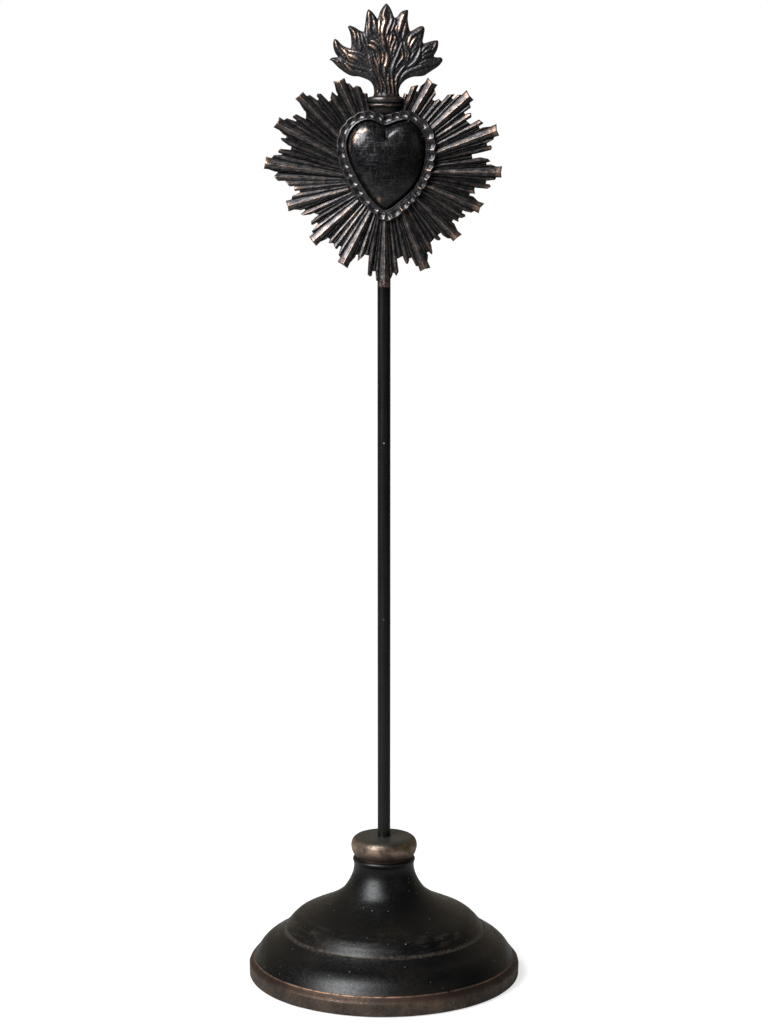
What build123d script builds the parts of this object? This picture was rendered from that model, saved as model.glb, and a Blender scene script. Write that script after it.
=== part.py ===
# Photo holder: a cast flaming heart with pleated rays on a slim rod, standing in a
# turned base.  A sprung lever behind the heart grips a photo card against its back.
# Millimetres, +Z up, the heart faces -Y, the origin is the centre of the base's underside.
from build123d import *
import math
import os

os.makedirs("parts", exist_ok=True)

# ---------------------------------------------------------------- driving dimensions
# base
rim_radius = 53.35          # bronze rim disc
rim_bottom = 0.3            # the felt lifts the rim this far off the table
rim_top = 8.0
felt_radius = 48.0
felt_thick = 1.0
nut_pocket_radius = 8.0
nut_pocket_top = 6.2
dome_top = 48.0             # seat of the bead collar
spigot_radius = 7.0
spigot_top = 52.0
collar_top = 56.25
# rod
rod_radius = 2.5
rod_top = 321.0
rod_shoulder = 20.0         # the rod steps down to its thread here
thread_radius = 2.0
rod_end = 1.4
flat_y = -1.0               # milled flat that the bracket's web lies on
flat_z = 300.0
rivet_z = (306.0, 318.0)
rivet_radius = 1.0
# ornament, measured from its back plane
back_y = -10.0
plate_thick = 1.1           # thickness in the valleys between the rays
front_y = back_y - plate_thick
cup_floor = 1.0             # floor of the scalloped border, under the heart
heart_base_y = front_y - cup_floor
heart_height = 7.4
border_height = 2.9         # outer edge of the border above the ray plate
centre_z = 318.1
# bracket and clip
sheet = 1.2
web_half = 8.5              # outer half width of the channel
channel_z = (302.0, 323.0)
foot_z = (308.0, 331.5)
foot_x = 13.2
screw_x, screw_z = 10.0, 327.0
pin_y, pin_z = -4.8, 312.0
pin_radius = 1.2
lever_half = 7.0
lip_z, tab_z = 286.35, 333.7   # ends of the lever, where its corners are rounded
ear_radius = 2.3
wire_radius = 0.3
coil_radius = 1.9
coil_half = 2.6
flame_screw_x = (-1.8, 3.0)
flame_screw_z = 342.3

# ---------------------------------------------------------------- measured outlines (X, Z)
# ray strips, clockwise from the neck: kind, left root, tip from left to right, right root
# M main ridge, L and R its lower side strips, S small ridge, V valley
RAYS = [
    ("S", (2.57, 330.40), [(7.47, 345.71), (8.94, 345.28)], (3.25, 330.24)),
    ("S", (3.25, 330.24), [(10.02, 348.11), (12.64, 348.80), (12.85, 348.39)], (4.20, 329.95)),
    ("V", (4.20, 329.95), [(12.00, 346.59), (12.64, 346.32)], (4.47, 329.85)),
    ("L", (4.47, 329.85), [(13.69, 348.43), (15.34, 349.71)], (4.78, 329.73)),
    ("M", (4.78, 329.73), [(16.31, 351.53), (17.87, 349.65), (20.00, 348.86)], (6.43, 328.93)),
    ("R", (6.43, 328.93), [(18.86, 347.18), (19.39, 345.23)], (7.07, 328.53)),
    ("V", (7.07, 328.53), [(18.07, 343.44), (18.94, 342.82)], (7.53, 328.21)),
    ("S", (7.53, 328.21), [(19.05, 342.96), (20.43, 343.63), (21.59, 342.68)], (8.40, 327.52)),
    ("S", (8.40, 327.52), [(23.73, 345.14), (26.22, 345.38), (26.16, 344.93)], (9.05, 326.91)),
    ("V", (9.05, 326.91), [(25.27, 344.00), (25.83, 343.45)], (9.30, 326.65)),
    ("L", (9.30, 326.65), [(27.51, 345.17), (29.06, 345.17)], (9.62, 326.30)),
    ("M", (9.62, 326.30), [(30.81, 346.87), (31.85, 344.86), (33.48, 343.27)], (10.60, 325.02)),
    ("R", (10.60, 325.02), [(31.97, 342.07), (32.41, 340.41)], (10.88, 324.58)),
    ("V", (10.88, 324.58), [(29.93, 338.58), (30.39, 337.92)], (11.03, 324.32)),
    ("S", (11.03, 324.32), [(30.85, 338.24), (32.56, 338.48), (32.69, 336.78)], (11.41, 323.63)),
    ("V", (11.41, 323.63), [(30.76, 335.59), (32.33, 334.27)], (11.71, 322.98)),
    ("S", (11.71, 322.98), [(35.53, 336.02), (37.27, 334.67), (35.57, 333.55)], (11.98, 322.29)),
    ("V", (11.98, 322.29), [(35.47, 333.50), (35.86, 332.60)], (12.09, 321.97)),
    ("L", (12.09, 321.97), [(36.98, 333.10), (39.86, 333.44)], (12.17, 321.72)),
    ("M", (12.17, 321.72), [(42.02, 334.35), (42.10, 332.11), (43.14, 330.08)], (12.49, 320.47)),
    ("R", (12.49, 320.47), [(41.22, 329.48), (40.90, 328.54), (38.54, 327.23)], (12.57, 320.04)),
    ("V", (12.57, 320.04), [(38.47, 327.21), (38.70, 326.24)], (12.62, 319.72)),
    ("S", (12.62, 319.72), [(39.85, 326.53), (40.46, 325.85), (39.99, 324.69), (34.75, 323.39)], (12.69, 319.05)),
    ("V", (12.69, 319.05), [(32.92, 323.03), (33.12, 321.55)], (12.72, 318.48)),
    ("S", (12.72, 318.48), [(36.08, 322.00), (39.04, 321.44), (39.90, 320.47), (38.50, 320.05)], (12.73, 317.71)),
    ("V", (12.73, 317.71), [(38.39, 320.04), (38.43, 319.25)], (12.72, 317.44)),
    ("L", (12.72, 317.44), [(40.04, 319.36), (42.12, 318.56)], (12.70, 317.15)),
    ("M", (12.70, 317.15), [(44.25, 318.66), (43.84, 316.60), (44.03, 314.45)], (12.59, 316.11)),
    ("R", (12.59, 316.11), [(42.19, 314.55), (41.54, 313.57), (38.29, 313.24)], (12.53, 315.76)),
    ("V", (12.53, 315.76), [(38.37, 313.23), (38.22, 312.14)], (12.48, 315.50)),
    ("S", (12.48, 315.50), [(39.63, 311.95), (40.13, 311.24), (38.88, 310.26), (34.81, 310.57)], (12.36, 314.98)),
    ("V", (12.36, 314.98), [(34.08, 310.72), (33.84, 309.67)], (12.28, 314.70)),
    ("S", (12.28, 314.70), [(33.98, 309.63), (34.25, 308.43), (32.47, 308.50)], (12.17, 314.31)),
    ("V", (12.17, 314.31), [(32.29, 308.55), (32.09, 307.87)], (12.11, 314.11)),
    ("L", (12.11, 314.11), [(33.59, 307.40), (35.37, 305.61)], (12.01, 313.83)),
    ("M", (12.01, 313.83), [(37.67, 304.80), (36.07, 303.22), (35.56, 301.13)], (11.58, 312.77)),
    ("R", (11.58, 312.77), [(33.86, 301.96), (32.73, 301.35), (30.44, 301.84)], (11.33, 312.25)),
    ("V", (11.33, 312.25), [(29.71, 302.24), (29.24, 301.37)], (11.16, 311.93)),
    ("S", (11.16, 311.93), [(30.60, 300.58), (30.58, 299.88), (29.07, 299.30), (28.25, 299.48)], (10.76, 311.26)),
    ("V", (10.76, 311.26), [(28.28, 299.46), (27.85, 298.83)], (10.61, 311.03)),
    ("S", (10.61, 311.03), [(28.07, 298.68), (27.96, 297.88), (26.54, 298.48)], (10.38, 310.71)),
    ("V", (10.38, 310.71), [(26.15, 298.78), (25.54, 297.97)], (10.16, 310.40)),
    ("L", (10.16, 310.40), [(26.50, 297.20), (27.74, 294.56)], (9.89, 310.06)),
    ("M", (9.89, 310.06), [(29.27, 293.23), (27.50, 292.05), (26.05, 290.60)], (8.96, 309.04)),
    ("R", (8.96, 309.04), [(25.03, 291.71), (23.95, 291.73), (22.24, 292.73)], (8.58, 308.68)),
    ("V", (8.58, 308.68), [(21.32, 293.82), (20.32, 292.99)], (8.19, 308.34)),
    ("S", (8.19, 308.34), [(21.35, 291.69), (21.11, 291.02), (19.95, 290.99), (19.05, 291.64)], (7.61, 307.88)),
    ("V", (7.61, 307.88), [(18.98, 291.73), (17.44, 290.03)], (6.87, 307.38)),
    ("S", (6.87, 307.38), [(17.79, 289.45), (18.25, 286.66), (18.12, 285.59), (17.07, 286.44)], (6.19, 306.98)),
    ("V", (6.19, 306.98), [(16.92, 286.73), (16.15, 286.33)], (5.91, 306.83)),
    ("L", (5.91, 306.83), [(16.63, 285.36), (16.41, 283.16)], (5.55, 306.65)),
    ("M", (5.55, 306.65), [(17.54, 280.70), (15.44, 280.31), (13.58, 279.33)], (4.35, 306.14)),
    ("R", (4.35, 306.14), [(12.89, 281.32), (12.04, 281.27), (10.58, 284.13)], (3.92, 305.99)),
    ("V", (3.92, 305.99), [(10.48, 284.45), (9.41, 284.14)], (3.54, 305.88)),
    ("S", (3.54, 305.88), [(9.54, 283.67), (9.03, 282.10), (8.18, 282.32), (7.20, 284.41)], (2.80, 305.69)),
    ("V", (2.80, 305.69), [(7.07, 285.04), (4.91, 284.01)], (1.97, 305.53)),
    ("S", (1.97, 305.53), [(5.57, 279.16), (4.58, 277.55), (3.89, 278.66)], (1.42, 305.46)),
    ("V", (1.42, 305.46), [(3.88, 278.73), (3.26, 278.68)], (1.22, 305.44)),
    ("L", (1.22, 305.44), [(3.30, 278.15), (2.24, 276.00)], (0.86, 305.41)),
    ("M", (0.86, 305.41), [(2.36, 273.29), (0.08, 273.61), (-2.12, 273.35)], (-0.13, 305.38)),
    ("R", (-0.13, 305.38), [(-1.98, 275.61), (-2.97, 275.86), (-3.24, 278.90)], (-0.42, 305.39)),
    ("V", (-0.42, 305.39), [(-3.20, 279.27), (-4.32, 279.38)], (-0.62, 305.40)),
    ("S", (-0.62, 305.40), [(-4.56, 277.67), (-5.32, 277.38), (-6.22, 278.15), (-5.79, 284.79)], (-1.16, 305.43)),
    ("V", (-1.16, 305.43), [(-5.68, 285.27), (-7.40, 285.61)], (-1.57, 305.48)),
    ("S", (-1.57, 305.48), [(-7.51, 285.25), (-8.86, 284.03), (-9.91, 283.26), (-9.81, 285.15)], (-2.04, 305.55)),
    ("V", (-2.04, 305.55), [(-9.71, 285.44), (-10.44, 285.66)], (-2.21, 305.57)),
    ("L", (-2.21, 305.57), [(-10.88, 284.62), (-12.85, 282.51)], (-2.35, 305.60)),
    ("M", (-2.35, 305.60), [(-13.76, 280.51), (-15.52, 281.94), (-17.47, 282.96)], (-3.52, 305.87)),
    ("R", (-3.52, 305.87), [(-16.47, 284.60), (-17.15, 285.62), (-16.21, 288.41)], (-4.20, 306.09)),
    ("V", (-4.20, 306.09), [(-16.11, 288.56), (-16.78, 288.94)], (-4.50, 306.20)),
    ("S", (-4.50, 306.20), [(-17.61, 287.77), (-18.24, 287.79), (-18.96, 289.39)], (-5.28, 306.52)),
    ("V", (-5.28, 306.52), [(-18.82, 289.57), (-19.56, 290.07)], (-5.61, 306.67)),
    ("S", (-5.61, 306.67), [(-19.71, 289.90), (-20.90, 290.01), (-20.42, 291.34)], (-6.15, 306.96)),
    ("V", (-6.15, 306.96), [(-20.37, 291.40), (-21.08, 291.95)], (-6.48, 307.14)),
    ("L", (-6.48, 307.14), [(-21.44, 291.57), (-23.94, 290.47)], (-6.84, 307.36)),
    ("M", (-6.84, 307.36), [(-25.52, 288.90), (-26.88, 290.61), (-28.12, 292.38)], (-7.97, 308.16)),
    ("R", (-7.97, 308.16), [(-26.61, 293.56), (-27.15, 294.45), (-24.89, 297.01)], (-8.41, 308.53)),
    ("V", (-8.41, 308.53), [(-24.80, 297.08), (-25.29, 297.67)], (-8.59, 308.69)),
    ("S", (-8.59, 308.69), [(-26.65, 296.78), (-27.40, 296.95), (-27.37, 298.16), (-24.89, 300.36)], (-9.12, 309.20)),
    ("V", (-9.12, 309.20), [(-24.56, 300.54), (-26.41, 301.20)], (-9.45, 309.55)),
    ("S", (-9.45, 309.55), [(-27.46, 300.68), (-30.22, 300.37), (-31.33, 300.81), (-29.68, 302.18)], (-9.93, 310.11)),
    ("V", (-9.93, 310.11), [(-29.61, 302.21), (-29.88, 302.71)], (-10.03, 310.24)),
    ("L", (-10.03, 310.24), [(-31.08, 302.26), (-33.72, 302.54)], (-10.22, 310.49)),
    ("M", (-10.22, 310.49), [(-35.87, 301.82), (-36.11, 303.93), (-36.90, 305.79)], (-10.86, 311.42)),
    ("R", (-10.86, 311.42), [(-34.79, 306.25), (-34.42, 307.53), (-31.75, 308.83)], (-11.20, 312.00)),
    ("V", (-11.20, 312.00), [(-31.56, 308.86), (-31.77, 309.63)], (-11.32, 312.23)),
    ("S", (-11.32, 312.23), [(-33.31, 309.43), (-33.73, 309.88), (-33.54, 311.27)], (-11.58, 312.77)),
    ("S", (-11.58, 312.77), [(-35.50, 311.13), (-37.01, 313.21)], (-11.83, 313.34)),
    ("S", (-11.83, 313.34), [(-39.80, 313.19), (-41.24, 314.97), (-39.97, 316.31)], (-12.12, 314.15)),
    ("V", (-12.12, 314.15), [(-39.89, 316.31), (-39.90, 316.55)], (-12.14, 314.21)),
    ("L", (-12.14, 314.21), [(-40.80, 316.63), (-43.29, 317.56)], (-12.19, 314.36)),
    ("M", (-12.19, 314.36), [(-45.01, 317.73), (-44.47, 319.97), (-44.22, 322.19)], (-12.50, 315.60)),
    ("R", (-12.50, 315.60), [(-42.12, 321.76), (-41.25, 322.86), (-38.29, 322.98)], (-12.61, 316.29)),
    ("V", (-12.61, 316.29), [(-38.29, 322.98), (-38.25, 323.29)], (-12.63, 316.40)),
    ("S", (-12.63, 316.40), [(-39.48, 323.62), (-39.67, 324.14), (-38.92, 325.14), (-35.03, 324.80)], (-12.71, 317.28)),
    ("V", (-12.71, 317.28), [(-34.96, 324.78), (-34.69, 325.98)], (-12.73, 317.77)),
    ("S", (-12.73, 317.77), [(-35.68, 326.35), (-38.20, 328.21), (-38.73, 329.21), (-36.93, 329.11)], (-12.72, 318.56)),
    ("V", (-12.72, 318.56), [(-36.76, 329.04), (-36.49, 329.87)], (-12.70, 318.88)),
    ("L", (-12.70, 318.88), [(-37.61, 330.39), (-39.18, 332.09)], (-12.68, 319.19)),
    ("M", (-12.68, 319.19), [(-41.33, 333.14), (-39.88, 334.93), (-39.09, 336.89)], (-12.46, 320.62)),
    ("R", (-12.46, 320.62), [(-37.37, 335.84), (-36.36, 336.52), (-33.36, 335.51)], (-12.30, 321.27)),
    ("V", (-12.30, 321.27), [(-33.05, 335.30), (-32.80, 335.76)], (-12.25, 321.48)),
    ("S", (-12.25, 321.48), [(-34.02, 336.61), (-34.05, 337.32), (-32.84, 338.02), (-29.57, 336.39)], (-11.94, 322.40)),
    ("V", (-11.94, 322.40), [(-29.25, 336.13), (-29.17, 338.32), (-29.41, 339.00)], (-11.61, 323.21)),
    ("L", (-11.61, 323.21), [(-29.96, 339.50), (-31.69, 342.31)], (-11.45, 323.55)),
    ("M", (-11.45, 323.55), [(-33.16, 343.67), (-31.61, 344.85), (-30.24, 346.24)], (-10.73, 324.82)),
    ("R", (-10.73, 324.82), [(-28.87, 344.73), (-27.71, 345.17), (-25.14, 343.35)], (-10.29, 325.47)),
    ("V", (-10.29, 325.47), [(-24.92, 343.09), (-24.36, 343.63)], (-10.07, 325.76)),
    ("S", (-10.07, 325.76), [(-25.17, 344.65), (-24.85, 345.63), (-23.51, 345.56), (-21.06, 343.13)], (-9.37, 326.58)),
    ("V", (-9.37, 326.58), [(-20.69, 342.62), (-19.76, 343.36)], (-8.96, 327.00)),
    ("S", (-8.96, 327.00), [(-20.07, 343.82), (-19.47, 346.38), (-17.76, 344.99)], (-8.02, 327.84)),
    ("V", (-8.02, 327.84), [(-17.67, 344.83), (-17.20, 345.12)], (-7.80, 328.01)),
    ("L", (-7.80, 328.01), [(-17.83, 346.26), (-18.49, 349.09)], (-7.50, 328.23)),
    ("M", (-7.50, 328.23), [(-19.02, 350.10), (-16.60, 350.24), (-14.76, 351.42)], (-6.02, 329.15)),
    ("R", (-6.02, 329.15), [(-13.99, 349.47), (-12.80, 349.33), (-11.66, 348.04)], (-5.44, 329.45)),
    ("S", (-5.44, 329.45), [(-11.58, 347.79), (-10.29, 348.56), (-8.74, 348.11), (-8.02, 346.75)], (-4.22, 329.94)),
    ("S", (-4.22, 329.94), [(-7.85, 345.99), (-6.16, 345.61)], (-3.55, 330.16)),
    ("V", (-3.55, 330.16), [(-5.77, 343.32), (-2.73, 343.82), (0.46, 343.95), (3.63, 343.71), (6.64, 343.11)], (2.57, 330.40)),
]
HEART_LEFT = [
    (0.37, 333.04), (-1.49, 334.00), (-3.36, 335.00), (-5.41, 335.48), (-7.91, 335.00), (-10.19, 333.71), (-12.14, 331.30),
    (-13.19, 328.86), (-13.46, 325.97), (-13.05, 323.38), (-12.23, 320.82), (-11.19, 318.22), (-9.88, 315.65), (-8.28, 312.97),
    (-6.63, 310.29), (-4.95, 307.69), (-3.08, 305.41), (-1.05, 303.62), (0.49, 302.87),
]
HEART_RIGHT = [
    (0.37, 333.04), (1.83, 333.63), (4.11, 334.56), (6.34, 335.22), (8.32, 335.48), (10.26, 334.89), (12.21, 333.37),
    (13.82, 331.12), (14.68, 328.86), (15.03, 325.97), (14.99, 323.38), (14.66, 320.82), (14.11, 318.22), (13.22, 315.39),
    (11.91, 312.75), (9.97, 310.07), (7.46, 307.80), (5.10, 305.86), (2.59, 303.92), (0.49, 302.87),
]
BORDER_LEFT = [
    (0.11, 337.17), (-1.86, 338.16), (-4.10, 338.90), (-6.33, 339.23), (-8.57, 338.75), (-10.80, 337.61), (-12.85, 336.17),
    (-14.61, 334.40), (-16.14, 332.19), (-17.08, 329.60), (-17.46, 326.83), (-17.32, 324.05), (-16.73, 321.09), (-15.77, 318.12),
    (-14.47, 315.15), (-12.83, 312.00), (-11.00, 309.02), (-8.80, 306.23), (-6.37, 303.81), (-3.93, 301.76), (-1.50, 299.71),
    (0.86, 298.10),
]
BORDER_RIGHT = [
    (0.11, 337.17), (1.30, 337.61), (2.79, 338.16), (5.21, 338.86), (7.82, 339.20), (10.43, 338.61), (13.04, 337.28),
    (15.39, 335.32), (17.26, 333.04), (18.50, 330.45), (19.07, 327.53), (19.08, 324.42), (18.60, 321.09), (17.79, 317.94),
    (16.56, 314.60), (14.89, 311.44), (12.84, 308.46), (10.60, 305.75), (8.17, 303.32), (5.55, 301.27), (3.00, 299.37),
    (0.86, 298.10),
]
BORDER_CUSPS = [
    (0.11, 337.28), (-3.35, 338.61), (-7.26, 339.12), (-11.18, 337.43), (-14.53, 334.66), (-16.71, 330.64), (-17.43, 325.16),
    (-16.70, 321.02), (-15.40, 317.08), (-13.76, 313.74), (-11.97, 310.40), (-9.66, 307.12), (-6.55, 303.88), (-2.81, 300.83),
    (0.00, 298.55), (3.37, 299.15), (7.12, 302.06), (9.85, 304.59), (12.20, 307.20), (14.22, 310.03), (16.30, 313.56),
    (17.64, 317.01), (18.60, 320.72), (19.04, 324.79), (18.80, 329.23), (17.15, 333.48), (13.41, 336.98), (9.31, 338.97),
    (5.40, 338.86), (2.53, 338.09),
]
FLAME = [
    (-3.76, 345.08), (-3.76, 346.92), (-4.24, 348.83), (-5.47, 350.30), (-7.44, 351.22), (-9.48, 351.84), (-11.71, 351.99),
    (-13.75, 352.80), (-15.61, 354.04), (-17.24, 355.36), (-18.20, 356.35), (-19.13, 357.34), (-20.24, 358.15), (-19.50, 358.73),
    (-18.38, 358.95), (-17.23, 359.06), (-18.04, 360.31), (-18.63, 361.77), (-18.92, 363.42), (-18.81, 364.88), (-18.32, 365.68),
    (-17.29, 365.25), (-16.21, 364.08), (-15.03, 363.13), (-13.73, 362.54), (-12.43, 362.25), (-12.17, 363.78), (-12.24, 365.61),
    (-12.50, 367.44), (-12.98, 368.90), (-13.42, 370.07), (-13.12, 370.54), (-11.86, 370.36), (-10.56, 369.77), (-9.27, 368.97),
    (-8.05, 368.39), (-7.56, 368.39), (-7.19, 369.99), (-6.93, 371.82), (-6.70, 373.64), (-6.37, 375.46), (-5.78, 376.48),
    (-4.96, 376.08), (-4.07, 375.24), (-3.26, 374.22), (-2.37, 373.09), (-1.93, 374.29), (-1.48, 375.64), (-0.67, 376.99),
    (0.30, 378.26), (0.85, 378.66), (1.59, 378.08), (2.44, 376.81), (3.11, 375.39), (3.96, 373.42), (4.78, 373.71),
    (5.63, 374.80), (6.52, 375.68), (7.59, 376.12), (8.89, 376.23), (8.93, 374.73), (8.82, 372.91), (9.04, 371.09),
    (9.38, 369.45), (9.75, 368.53), (10.75, 368.93), (11.97, 369.63), (13.08, 370.21), (14.45, 370.36), (15.09, 369.55),
    (14.94, 367.80), (14.58, 365.98), (14.39, 364.88), (14.69, 364.11), (16.14, 364.44), (17.62, 364.88), (19.10, 365.14),
    (20.03, 365.10), (20.22, 363.78), (19.93, 362.14), (19.16, 360.49), (18.57, 359.28), (19.68, 358.95), (20.98, 358.95),
    (21.76, 358.37), (21.76, 357.56), (21.10, 356.54), (19.69, 355.22), (17.84, 354.04), (16.17, 352.94), (14.68, 352.10),
    (12.64, 351.88), (10.78, 351.73), (8.92, 351.11), (7.25, 349.93), (6.10, 348.39), (5.58, 346.74), (5.69, 345.08),
]
# flame tongues: spine from tip to foot, as (x, z, half width, height above the flame's field)
TONGUES = [
    [(0.8, 378.4, 0.25, 0.3), (0.0, 374.6, 1.5, 1.3), (0.4, 371.0, 1.7, 1.7), (-0.6, 366.5, 1.5, 1.9), (0.6, 361.5, 1.4, 2.0), (1.1, 357.5, 1.3, 2.0), (0.5, 353.5, 1.1, 1.8)],
    [(2.2, 375.6, 0.4, 0.5), (2.6, 372.4, 0.9, 1.2), (1.9, 369.4, 0.9, 1.4), (0.9, 366.6, 0.6, 1.3)],
    [(-5.8, 376.2, 0.25, 0.3), (-5.4, 373.4, 1.1, 1.1), (-5.7, 369.8, 1.3, 1.4), (-4.6, 366.0, 1.2, 1.5), (-2.6, 362.6, 1.1, 1.5), (-1.4, 358.4, 0.9, 1.4)],
    [(-13.2, 370.2, 0.25, 0.3), (-11.2, 367.4, 1.2, 1.1), (-10.6, 364.6, 1.4, 1.4), (-8.6, 361.2, 1.3, 1.5), (-5.8, 357.6, 1.2, 1.5), (-3.0, 353.6, 1.0, 1.4)],
    [(-18.5, 365.2, 0.25, 0.3), (-17.8, 362.4, 1.0, 0.9), (-15.6, 360.4, 1.4, 1.3), (-11.8, 358.6, 1.5, 1.5), (-7.6, 356.2, 1.4, 1.5), (-3.4, 351.8, 1.1, 1.3)],
    [(-19.8, 358.0, 0.25, 0.3), (-16.6, 357.2, 0.9, 0.9), (-13.4, 355.0, 1.2, 1.2), (-9.4, 353.6, 1.2, 1.3), (-4.8, 350.8, 1.1, 1.2)],
    [(8.7, 375.8, 0.25, 0.3), (7.4, 372.8, 1.3, 1.2), (6.9, 369.4, 1.5, 1.5), (6.0, 366.0, 1.1, 1.4)],
    [(14.2, 370.0, 0.3, 0.3), (12.4, 367.8, 1.4, 1.1), (10.8, 364.8, 1.6, 1.4), (9.6, 361.4, 1.1, 1.3)],
    [(19.6, 364.8, 0.3, 0.3), (17.6, 362.4, 1.3, 1.0), (14.8, 360.4, 1.2, 1.2)],
    [(21.2, 358.2, 0.4, 0.3), (17.6, 357.0, 1.2, 1.0), (13.6, 355.4, 1.3, 1.2), (9.4, 353.4, 1.2, 1.3), (5.8, 350.6, 1.0, 1.2)],
    [(-5.6, 363.6, 0.4, 0.9), (-3.4, 362.4, 0.9, 1.7), (-1.7, 360.0, 1.0, 1.9), (-1.9, 356.4, 0.9, 1.8), (-2.2, 352.8, 0.8, 1.5)],
    [(3.4, 366.6, 0.3, 0.8), (3.5, 364.2, 1.0, 1.7), (2.9, 361.4, 0.8, 1.7), (2.4, 359.0, 0.4, 1.4)],
    [(6.2, 364.2, 0.3, 0.8), (6.7, 361.2, 1.0, 1.7), (5.4, 358.4, 1.1, 1.8), (3.6, 355.6, 0.9, 1.7), (2.8, 352.4, 0.8, 1.5)],
    [(7.8, 364.2, 0.3, 0.7), (8.6, 361.4, 0.8, 1.5), (8.2, 358.0, 0.5, 1.3)],
    [(13.4, 362.0, 0.3, 0.6), (13.2, 359.6, 1.0, 1.4), (11.4, 357.2, 0.9, 1.4), (9.2, 356.2, 0.4, 1.1)],
]

front = Plane(origin=(0, front_y, 0), x_dir=(1, 0, 0), z_dir=(0, -1, 0))
back = Plane(origin=(0, back_y, 0), x_dir=(1, 0, 0), z_dir=(0, -1, 0))


def facing(y):
    """Plane of the ornament's face at depth y: sketch x is X, sketch y is Z, out is -Y."""
    return Plane(origin=(0, y, 0), x_dir=(1, 0, 0), z_dir=(0, -1, 0))


def across(p, q, y):
    """Plane square to the line from p to q; its x runs over the face, to the left of the line, and its y is -Y."""
    dx, dz = q[0] - p[0], q[1] - p[1]
    n = math.hypot(dx, dz)
    return Plane(origin=(p[0], y, p[1]), x_dir=(-dz / n, 0, dx / n), z_dir=(dx / n, 0, dz / n))


def tidy(points, gap=0.04):
    out = []
    for p in points:
        if not out or math.dist(p, out[-1]) > gap:
            out.append(p)
    if math.dist(out[0], out[-1]) <= gap:
        out.pop()
    return out


ray_outline = tidy([p for _, _, tip, _ in RAYS for p in tip])
heart_mid = (0.8, 319.6)


def heart_scaled(points, s):
    return [(heart_mid[0] + (x - heart_mid[0]) * s, heart_mid[1] + (z - heart_mid[1]) * s) for x, z in points]


def mid(a, b):
    return ((a[0] + b[0]) / 2, (a[1] + b[1]) / 2)


# ---------------------------------------------------------------- base
# Bronze rim disc, with a pocket for the nut and a shallow recess for the felt.
with BuildPart() as base_plinth:
    with BuildSketch(Plane.XZ):
        with BuildLine():
            Polyline((thread_radius + 0.2, nut_pocket_top), (thread_radius + 0.2, rim_top), (51.3, rim_top))
            Spline((51.3, rim_top), (52.15, 7.05), (53.05, 6.0), (rim_radius, 5.2), tangents=((1, -0.75), (0, -1)))
            Polyline((rim_radius, 5.2), (rim_radius, 1.1), (52.9, 0.5), (52.4, rim_bottom),
                     (felt_radius + 0.3, rim_bottom), (felt_radius + 0.3, felt_thick),
                     (nut_pocket_radius, felt_thick), (nut_pocket_radius, nut_pocket_top),
                     (thread_radius + 0.2, nut_pocket_top))
        make_face()
    revolve(axis=Axis.Z)
base_plinth.part.label = "base_plinth"
export_step(base_plinth.part, "parts/base_plinth.step")

# Black bell: lower dome, one step ring, upper dome, neck with a thin lip, and a spigot.
with BuildPart() as base_dome:
    with BuildSketch(Plane.XZ):
        with BuildLine():
            Line((thread_radius + 0.2, rim_top), (51.2, rim_top))
            Spline((51.2, rim_top), (50.54, 9.0), (49.94, 10.0), (48.53, 12.0), (46.41, 14.0),
                   (43.32, 16.0), (40.9, 17.8), (39.85, 18.7))
            Polyline((39.85, 18.7), (39.2, 18.95), (39.0, 19.45))
            Spline((39.0, 19.45), (38.5, 20.1), (37.75, 21.0), (36.9, 22.0), (34.7, 24.0), (30.75, 26.0),
                   (26.3, 28.0), (22.4, 30.0), (19.2, 32.0), (16.7, 34.0), (15.05, 36.0), (13.8, 38.0),
                   (12.85, 40.0), (12.15, 42.0), (11.82, 44.0), (11.85, 45.4), (12.1, 46.4))
            Spline((12.1, 46.4), (12.25, 47.0), (12.05, 47.6), (11.5, dome_top), tangents=((0.3, 1), (-1, 0.35)))
            Polyline((11.5, dome_top), (spigot_radius, dome_top), (spigot_radius, spigot_top),
                     (rod_radius + 0.1, spigot_top), (rod_radius + 0.1, rod_shoulder),
                     (thread_radius + 0.2, rod_shoulder), (thread_radius + 0.2, rim_top))
        make_face()
    revolve(axis=Axis.Z)
base_dome.part.label = "base_dome"
export_step(base_dome.part, "parts/base_dome.step")

# Bronze bead on the neck, socketed over the spigot.
with BuildPart() as bead_collar:
    with BuildSketch(Plane.XZ):
        with BuildLine():
            Polyline((spigot_radius + 0.05, dome_top), (11.2, dome_top), (11.3, 48.45))
            Spline((11.3, 48.45), (11.95, 49.2), (12.5, 50.4), (12.9, 51.8), (12.95, 52.8), (12.75, 54.0),
                   (12.2, 55.1), (11.3, 55.9), (10.0, collar_top), tangents=((0.7, 1), (-1, 0.05)))
            Polyline((10.0, collar_top), (rod_radius + 0.1, collar_top), (rod_radius + 0.1, spigot_top + 0.1),
                     (spigot_radius + 0.05, spigot_top + 0.1), (spigot_radius + 0.05, dome_top))
        make_face()
    revolve(axis=Axis.Z)
bead_collar.part.label = "bead_collar"
export_step(bead_collar.part, "parts/bead_collar.step")

# Felt disc that the holder stands on.
with BuildPart() as felt_pad:
    with BuildSketch(Plane.XY):
        Circle(felt_radius)
    extrude(amount=felt_thick)
felt_pad.part.label = "felt_pad"
export_step(felt_pad.part, "parts/felt_pad.step")

# Washer and nut that draw the rod down on its shoulder, hidden above the felt.
with BuildPart() as rod_washer:
    with BuildSketch(Plane.XY.offset(nut_pocket_top - 1.0)):
        Circle(6.0)
        Circle(thread_radius + 0.1, mode=Mode.SUBTRACT)
    extrude(amount=1.0)
rod_washer.part.label = "rod_washer"
export_step(rod_washer.part, "parts/rod_washer.step")

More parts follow.
